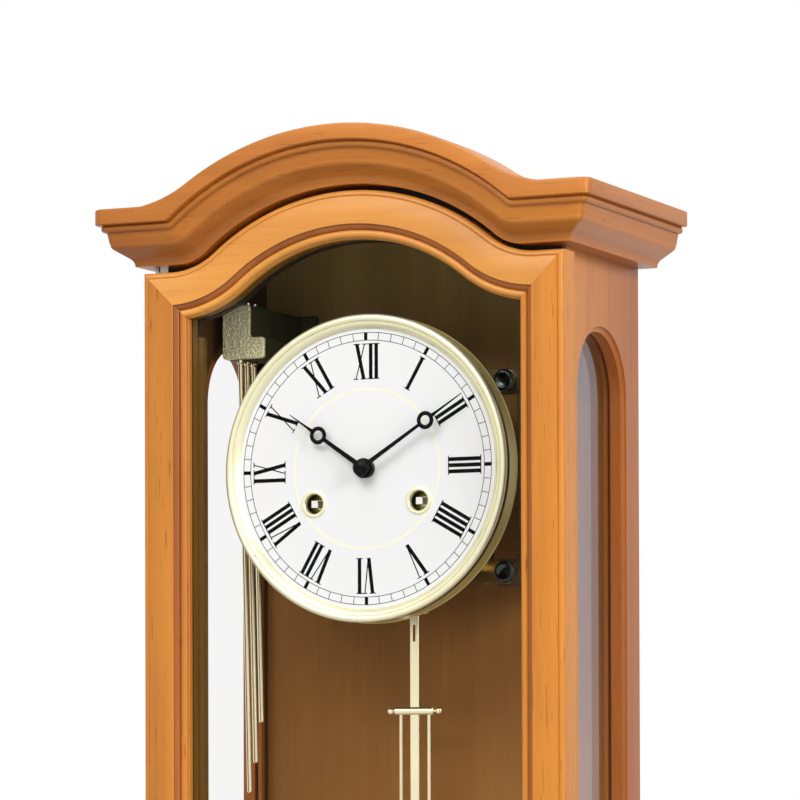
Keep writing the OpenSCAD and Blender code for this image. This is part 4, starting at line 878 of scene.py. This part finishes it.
g, e = gong, gong["inset"]
arm = block((g["left"] + e, g["panel"], g["step"]),
            (g["right"] - 2 * e, g["trayBack"] + g["lap"], g["top"] - 2 * e), g["armEase"])
foot = block((g["left"] + e, g["panel"], g["low"] + e),
             (g["trayRight"] - e, g["panel"] + g["footDeep"], g["top"] - e), g["footEase"])
casting = buildPiece("gongBlock", [arm, foot, gongFront(g)], shadedCasting, "case", ["gong_block"],
                     60)
casting.data.materials.append(goldPaint)  # gold in front; behind it the casting is painted dark, as painted shade
paintFaces(casting, faceMiddles(casting)[1] > g["front"] - g["goldDepth"])


# a rod below the block: radius over the distance down, along a line that leans back to the panel
# by the angle a: v = v0 - s sin a, z = z0 - s cos a
def gongRod(g, i):
    a, length = math.radians(g["lean"]), g["length"] - g["cut"] * i - g["cutMore"] * i * i
    r, c = g["rodR"], g["collarR"]
    top = [(c + out, down) for out, down in g["collarLine"]]
    tip = [(r + out, length - up) for out, up in g["tipLine"]]
    line = np.array([(0, top[0][1]), *top, (r, g["neck"]), *tip, (0, length - g["end"])])
    t = np.linspace(0, 2 * np.pi, 24, endpoint=False)
    radius, down = line[:, :1], line[:, 1:]
    grid = place(g["x"] + radius * np.sin(t),
                 g["v"] - i * g["pitch"] - down * math.sin(a) + radius * np.cos(t),
                 g["low"] - down * math.cos(a) - radius * np.cos(t) * math.sin(a))
    return grid.reshape(-1, 3), gridQuads(len(line), len(t))


buildPiece("gongRods", [gongRod(gong, i) for i in range(3)], rodBrass, "case", ["gong_rods"], 40)
print("gong made")

# pendulum: a flat slotted rod, two crossbars with ball ends, thin side rods, a bob and its nut;
# the blocks are the spring, its hook and the cradle, as half width, half depth, low, high and ease
pendulum = {"v": 40.0, "rodW": 5.1, "rodT": 1.6, "low": -283.0, "top": -65.5, "slotW": 1.5, "slotLow": -87.5,
            "slotTop": -78.7, "ease": 0.25, "barR": 2.3, "barEnd": 11.2, "barEase": 0.4, "neckR": 0.95,
            "neckEase": 0.15, "ballR": 1.95, "ballX": 13.9, "ballTurn": (90, -65), "barZ": (-124.4, -189.0),
            "sideX": 8.1, "sideR": 1.0, "wireR": 1.4, "wireZ": (-66, 28), "threadR": 1.45,
            "threadZ": (-303.8, -281), "threadEase": 0.5,
            "blocks": ((2, 0.3, 31, 39, 0.08), (2.5, 2, 27, 31.5, 0.4), (8, 2.4, -73, -69.6, 0.5))}
bob = {"z": -240.0, "r": 42.0, "t": 15.0, "rimIn": 38.6, "fall": 0.56, "rimUp": 0.4}
ratingNut = {"z": -292.0, "r": 6.6, "h": 3.5, "hubR": 3.4, "hubH": 1.5, "hubEase": 0.3, "rimIn": 0.7,
             "rimEase": 0.5, "teeth": 24, "notch": 0.42}


# rod with a slot: loops round the slot and round the edge, joined by flat faces
def slottedRod(p):
    def loop(x, low, high):
        return np.array([[-x, low], [x, low], [x, high], [-x, high]])
    half, e = p["rodW"] / 2, p["ease"]
    edge, inset = loop(half, p["low"], p["top"]), loop(half - e, p["low"] + e, p["top"] - e)
    hole = loop(p["slotW"] / 2, p["slotLow"], p["slotTop"])
    v0, v1 = p["v"] - p["rodT"] / 2, p["v"] + p["rodT"] / 2
    rows = [(hole, v0), (hole, v1), (inset, v1), (edge, v1 - e), (edge, v0 + e), (inset, v0), (hole, v0)]
    grid = np.stack([place(q[:, 0], v, q[:, 1]) for q, v in rows])
    return grid.reshape(-1, 3), gridQuads(len(rows), 4)


# radius over the place across: an arc for the ball at each end, a neck and the thicker bar between
def crossbar(p, z):
    ball = arc((0, p["ballX"]), p["ballR"], *p["ballTurn"], 14)
    half = [*ball.tolist(), [p["neckR"], p["barEnd"] + p["neckEase"]],
            [p["barR"] - p["barEase"], p["barEnd"]], [p["barR"], p["barEnd"] - p["barEase"]]]
    return turnedAcross(half + [[r, -x] for r, x in half[::-1]], p["v"], z, 40)


# upright rod between two heights, its lower end eased where an ease is given
def uprightRod(r, low, high, x, v, steps, ease=0.0):
    line = [[0, low], [r - 0.8 * ease, low], [r, low + ease], [r, high], [0, high]]
    if not ease:
        line.pop(1)
    return turnedUp(line, x, v, steps)


p = pendulum
shells = [slottedRod(p)]
shells += [block((-x, p["v"] - v, low), (x, p["v"] + v, high), ease) for x, v, low, high, ease in p["blocks"]]
shells.append(uprightRod(p["wireR"], *p["wireZ"], 0, p["v"], 24))
shells.append(uprightRod(p["threadR"], *p["threadZ"], 0, p["v"], 24, p["threadEase"]))
shells += [crossbar(p, z) for z in p["barZ"]]
for x in (-p["sideX"], p["sideX"]):
    shells.append(uprightRod(p["sideR"], p["barZ"][1], p["barZ"][0], x, p["v"], 20))
buildPiece("pendulumRod", shells, pendulumBrass, "pendulum", ["pendulum_rod"], 40)


# lens with a raised ring: height over the radius falls as a flat arc to the ring, which is a half round
def bobProfile(b):
    h = b["t"] / 2
    r = np.linspace(0, b["rimIn"], 24)
    face = h - h * b["fall"] * (r / b["rimIn"]) ** 2
    rim = arc(((b["rimIn"] + b["r"]) / 2, h * b["rimUp"]), (b["r"] - b["rimIn"]) / 2, 180, 0, 16)
    half = np.concatenate([np.stack([r, face], 1), rim])
    return np.concatenate([half, half[::-1] * np.array([1, -1])]) + np.array([0, pendulum["v"]])


buildPiece("bob", [turned(bobProfile(bob), (0, bob["z"]), 160)], pendulumBrass, "pendulum", ["bob"],
           40)


# knurled wheel: radius r less a notch that repeats round the rim, r - notch (1 - cos(n a)) / 2;
# the line holds radius, length and share of the notch, and spot is as in revolved
def knurled(line, teeth, notch, spot):
    a = np.linspace(0, 2 * np.pi, teeth * 8, endpoint=False)
    line = np.array(line, float)
    r = line[:, :1] - line[:, 2:] * notch * (1 - np.cos(teeth * a)) / 2
    grid = spot(r * np.sin(a), r * np.cos(a), line[:, 1:2] + 0 * a)
    return grid.reshape(-1, 3), gridQuads(len(line), len(a))


# a knurled disc with eased edges and a plain hub on top of it
def ratingNutShell(n):
    low, rimR, e, hubE = n["z"], n["r"] - n["rimIn"], n["rimEase"], n["hubEase"]
    high = low + n["h"]
    top = high + n["hubH"]
    line = [[0, low, 0], [rimR, low, 0], [n["r"], low + e, 1], [n["r"], high - e, 1], [rimR, high, 0],
            [n["hubR"], high, 0], [n["hubR"], top - hubE, 0], [n["hubR"] - hubE, top, 0], [0, top, 0]]
    return knurled(line, n["teeth"], n["notch"], lambda s, c, z: place(s, pendulum["v"] + c, z))


buildPiece("ratingNut", [ratingNutShell(ratingNut)], pendulumBrass, "rating_nut", ["rating_nut"],
           50)
print("pendulum made")

# thumb screws of the movement: shank, washer, knurled head and a dished face
thumb = {"x": 60.0, "z": (-53.0, 47.0), "plate": 55.5, "back": 50.0, "shank": 2.0, "washer": 3.6,
         "washerH": 1.0, "r": 5.8, "rimIn": 0.7, "rimLow": 0.5, "rimTop": 4.9, "rimEase": 0.6, "headTop": 6.0,
         "dishIn": (1.4, 2.0, 2.6), "dishDeep": (0.6, 0.7), "notch": 0.5, "teeth": 24}


def thumbScrew(t, x, z):
    low, r, rimR = t["plate"] + t["washerH"], t["r"], t["r"] - t["rimIn"]
    rim, top = t["plate"] + t["rimTop"], t["plate"] + t["headTop"]
    dish, deep = [r - inset for inset in t["dishIn"]], [top - depth for depth in t["dishDeep"]]
    line = [[0, t["back"], 0], [t["shank"], t["back"], 0], [t["shank"], t["plate"], 0],
            [t["washer"], t["plate"], 0], [t["washer"], low, 0], [rimR, low, 0], [r, low + t["rimLow"], 1],
            [r, rim, 1], [rimR, rim + t["rimEase"], 0], [dish[0], top, 0], [dish[1], top, 0],
            [dish[2], deep[0], 0], [0, deep[1], 0]]
    return knurled(line, t["teeth"], t["notch"], lambda s, c, v: place(x + s, v, z + c))


buildPiece("thumbScrews", [thumbScrew(thumb, x, z) for x in (-thumb["x"], thumb["x"]) for z in thumb["z"]],
           darkSteel, "case", ["thumb_screws"], 50)
print("thumb screws made")

# lamps, white surroundings and the camera; the floor also gives the clock a share of its glow
studio = {"worldLight": 0.24, "floorZ": -0.512, "floorHalf": 20.0, "floorGlow": 0.95, "floorBounce": 0.5,
          "keyLamp": dict(spot=(-0.35, -2.6, 2.0), aim=(0, -0.1, -0.1), size=(2.4, 1.8), power=77.0),
          "fillLamp": dict(spot=(2.7, -1.2, 1.0), aim=(0.1, -0.1, -0.1), size=(1.2, 1.6), power=66.0),
          "topLamp": dict(spot=(0.1, -0.9, 2.6), aim=(0, -0.1, 0), size=(1.4, 1.0), power=13.0)}


# pale floor: nearly white to the eye and to mirrors, with the clock's shadow on it, and clear from below
def floorMaterial(name, glow, bounce):
    m, tree, shader = newMaterial(name)
    grain = noise(tree, patternSpace(tree), scale=3.0, detail=3.0)
    tones = [(0.3, (0.14, 0.14, 0.137, 1)), (0.7, (0.16, 0.16, 0.157, 1))]
    feed(tree, shader, {"Base Color": ramp(tree, grain, tones), "Roughness": 0.8, "Specular IOR Level": 0.1})
    white = node(tree, "ShaderNodeEmission", {"Strength": 1.0}).outputs[0]
    clear = node(tree, "ShaderNodeBsdfTransparent").outputs[0]
    back = node(tree, "ShaderNodeNewGeometry").outputs["Backfacing"]
    share = maths(tree, "MULTIPLY", shownRays(tree, bounce), glow)
    both = mixShader(tree, back, mixShader(tree, share, shader.outputs[0], white), clear)
    tree.links.new(both, tree.nodes["Material Output"].inputs["Surface"])
    return m


reach, low = studio["floorHalf"], studio["floorZ"]
floorMesh = bpy.data.meshes.new("floor")
corners = [(x * reach, y * reach, low) for x, y in ((-1, -1), (1, -1), (1, 1), (-1, 1))]
floorMesh.from_pydata(corners, [], [(0, 1, 2, 3)])
floorMesh.materials.append(floorMaterial("paleFloor", studio["floorGlow"], studio["floorBounce"]))
addObject("floor", floorMesh)

world = bpy.data.worlds.new("studio")
bpy.context.scene.world = world
world.use_nodes = True
tree = world.node_tree
light = mapRange(tree, shownRays(tree, 0.0), 0.0, 1.0, studio["worldLight"], 1.0)
feed(tree, tree.nodes["Background"], {"Strength": light, "Color": grey(1)})


# an area lamp that shines from its spot towards the aim
def addLamp(name, spot, aim, size, power):
    lamp = bpy.data.lights.new(name, "AREA")
    lamp.shape, lamp.size, lamp.size_y, lamp.energy = "RECTANGLE", size[0], size[1], power
    turn = (Vector(spot) - Vector(aim)).to_track_quat("Z", "Y").to_matrix().to_4x4()
    addObject(name, lamp).matrix_world = Matrix.Translation(spot) @ turn


for name in ("keyLamp", "fillLamp", "topLamp"):
    addLamp(name, **studio[name])

# the photograph's view: a long lens a little below the dial, turned to the left and slightly up
lens = {"focal": 192.03, "sensor": 36.0, "shiftY": 0.4204, "near": 0.1, "far": 50.0,
        "yaw": 24.2769, "pitch": 0.9505, "roll": -0.1766, "spot": (0.923265, -2.106458, -0.260361)}
camera = bpy.data.cameras.new("photoView")
camera.lens, camera.sensor_width, camera.sensor_fit = lens["focal"], lens["sensor"], "HORIZONTAL"
camera.shift_y, camera.clip_start, camera.clip_end = lens["shiftY"], lens["near"], lens["far"]
stand = Matrix.Translation(lens["spot"])
for axis, angle in (("Z", lens["yaw"]), ("X", 90 + lens["pitch"]), ("Z", lens["roll"])):
    stand = stand @ Matrix.Rotation(math.radians(angle), 4, axis)
bpy.context.scene.camera = addObject("photoView", camera)
bpy.context.scene.camera.matrix_world = stand
bpy.context.scene.view_settings.view_transform = "Standard"
print("lamps and camera set")
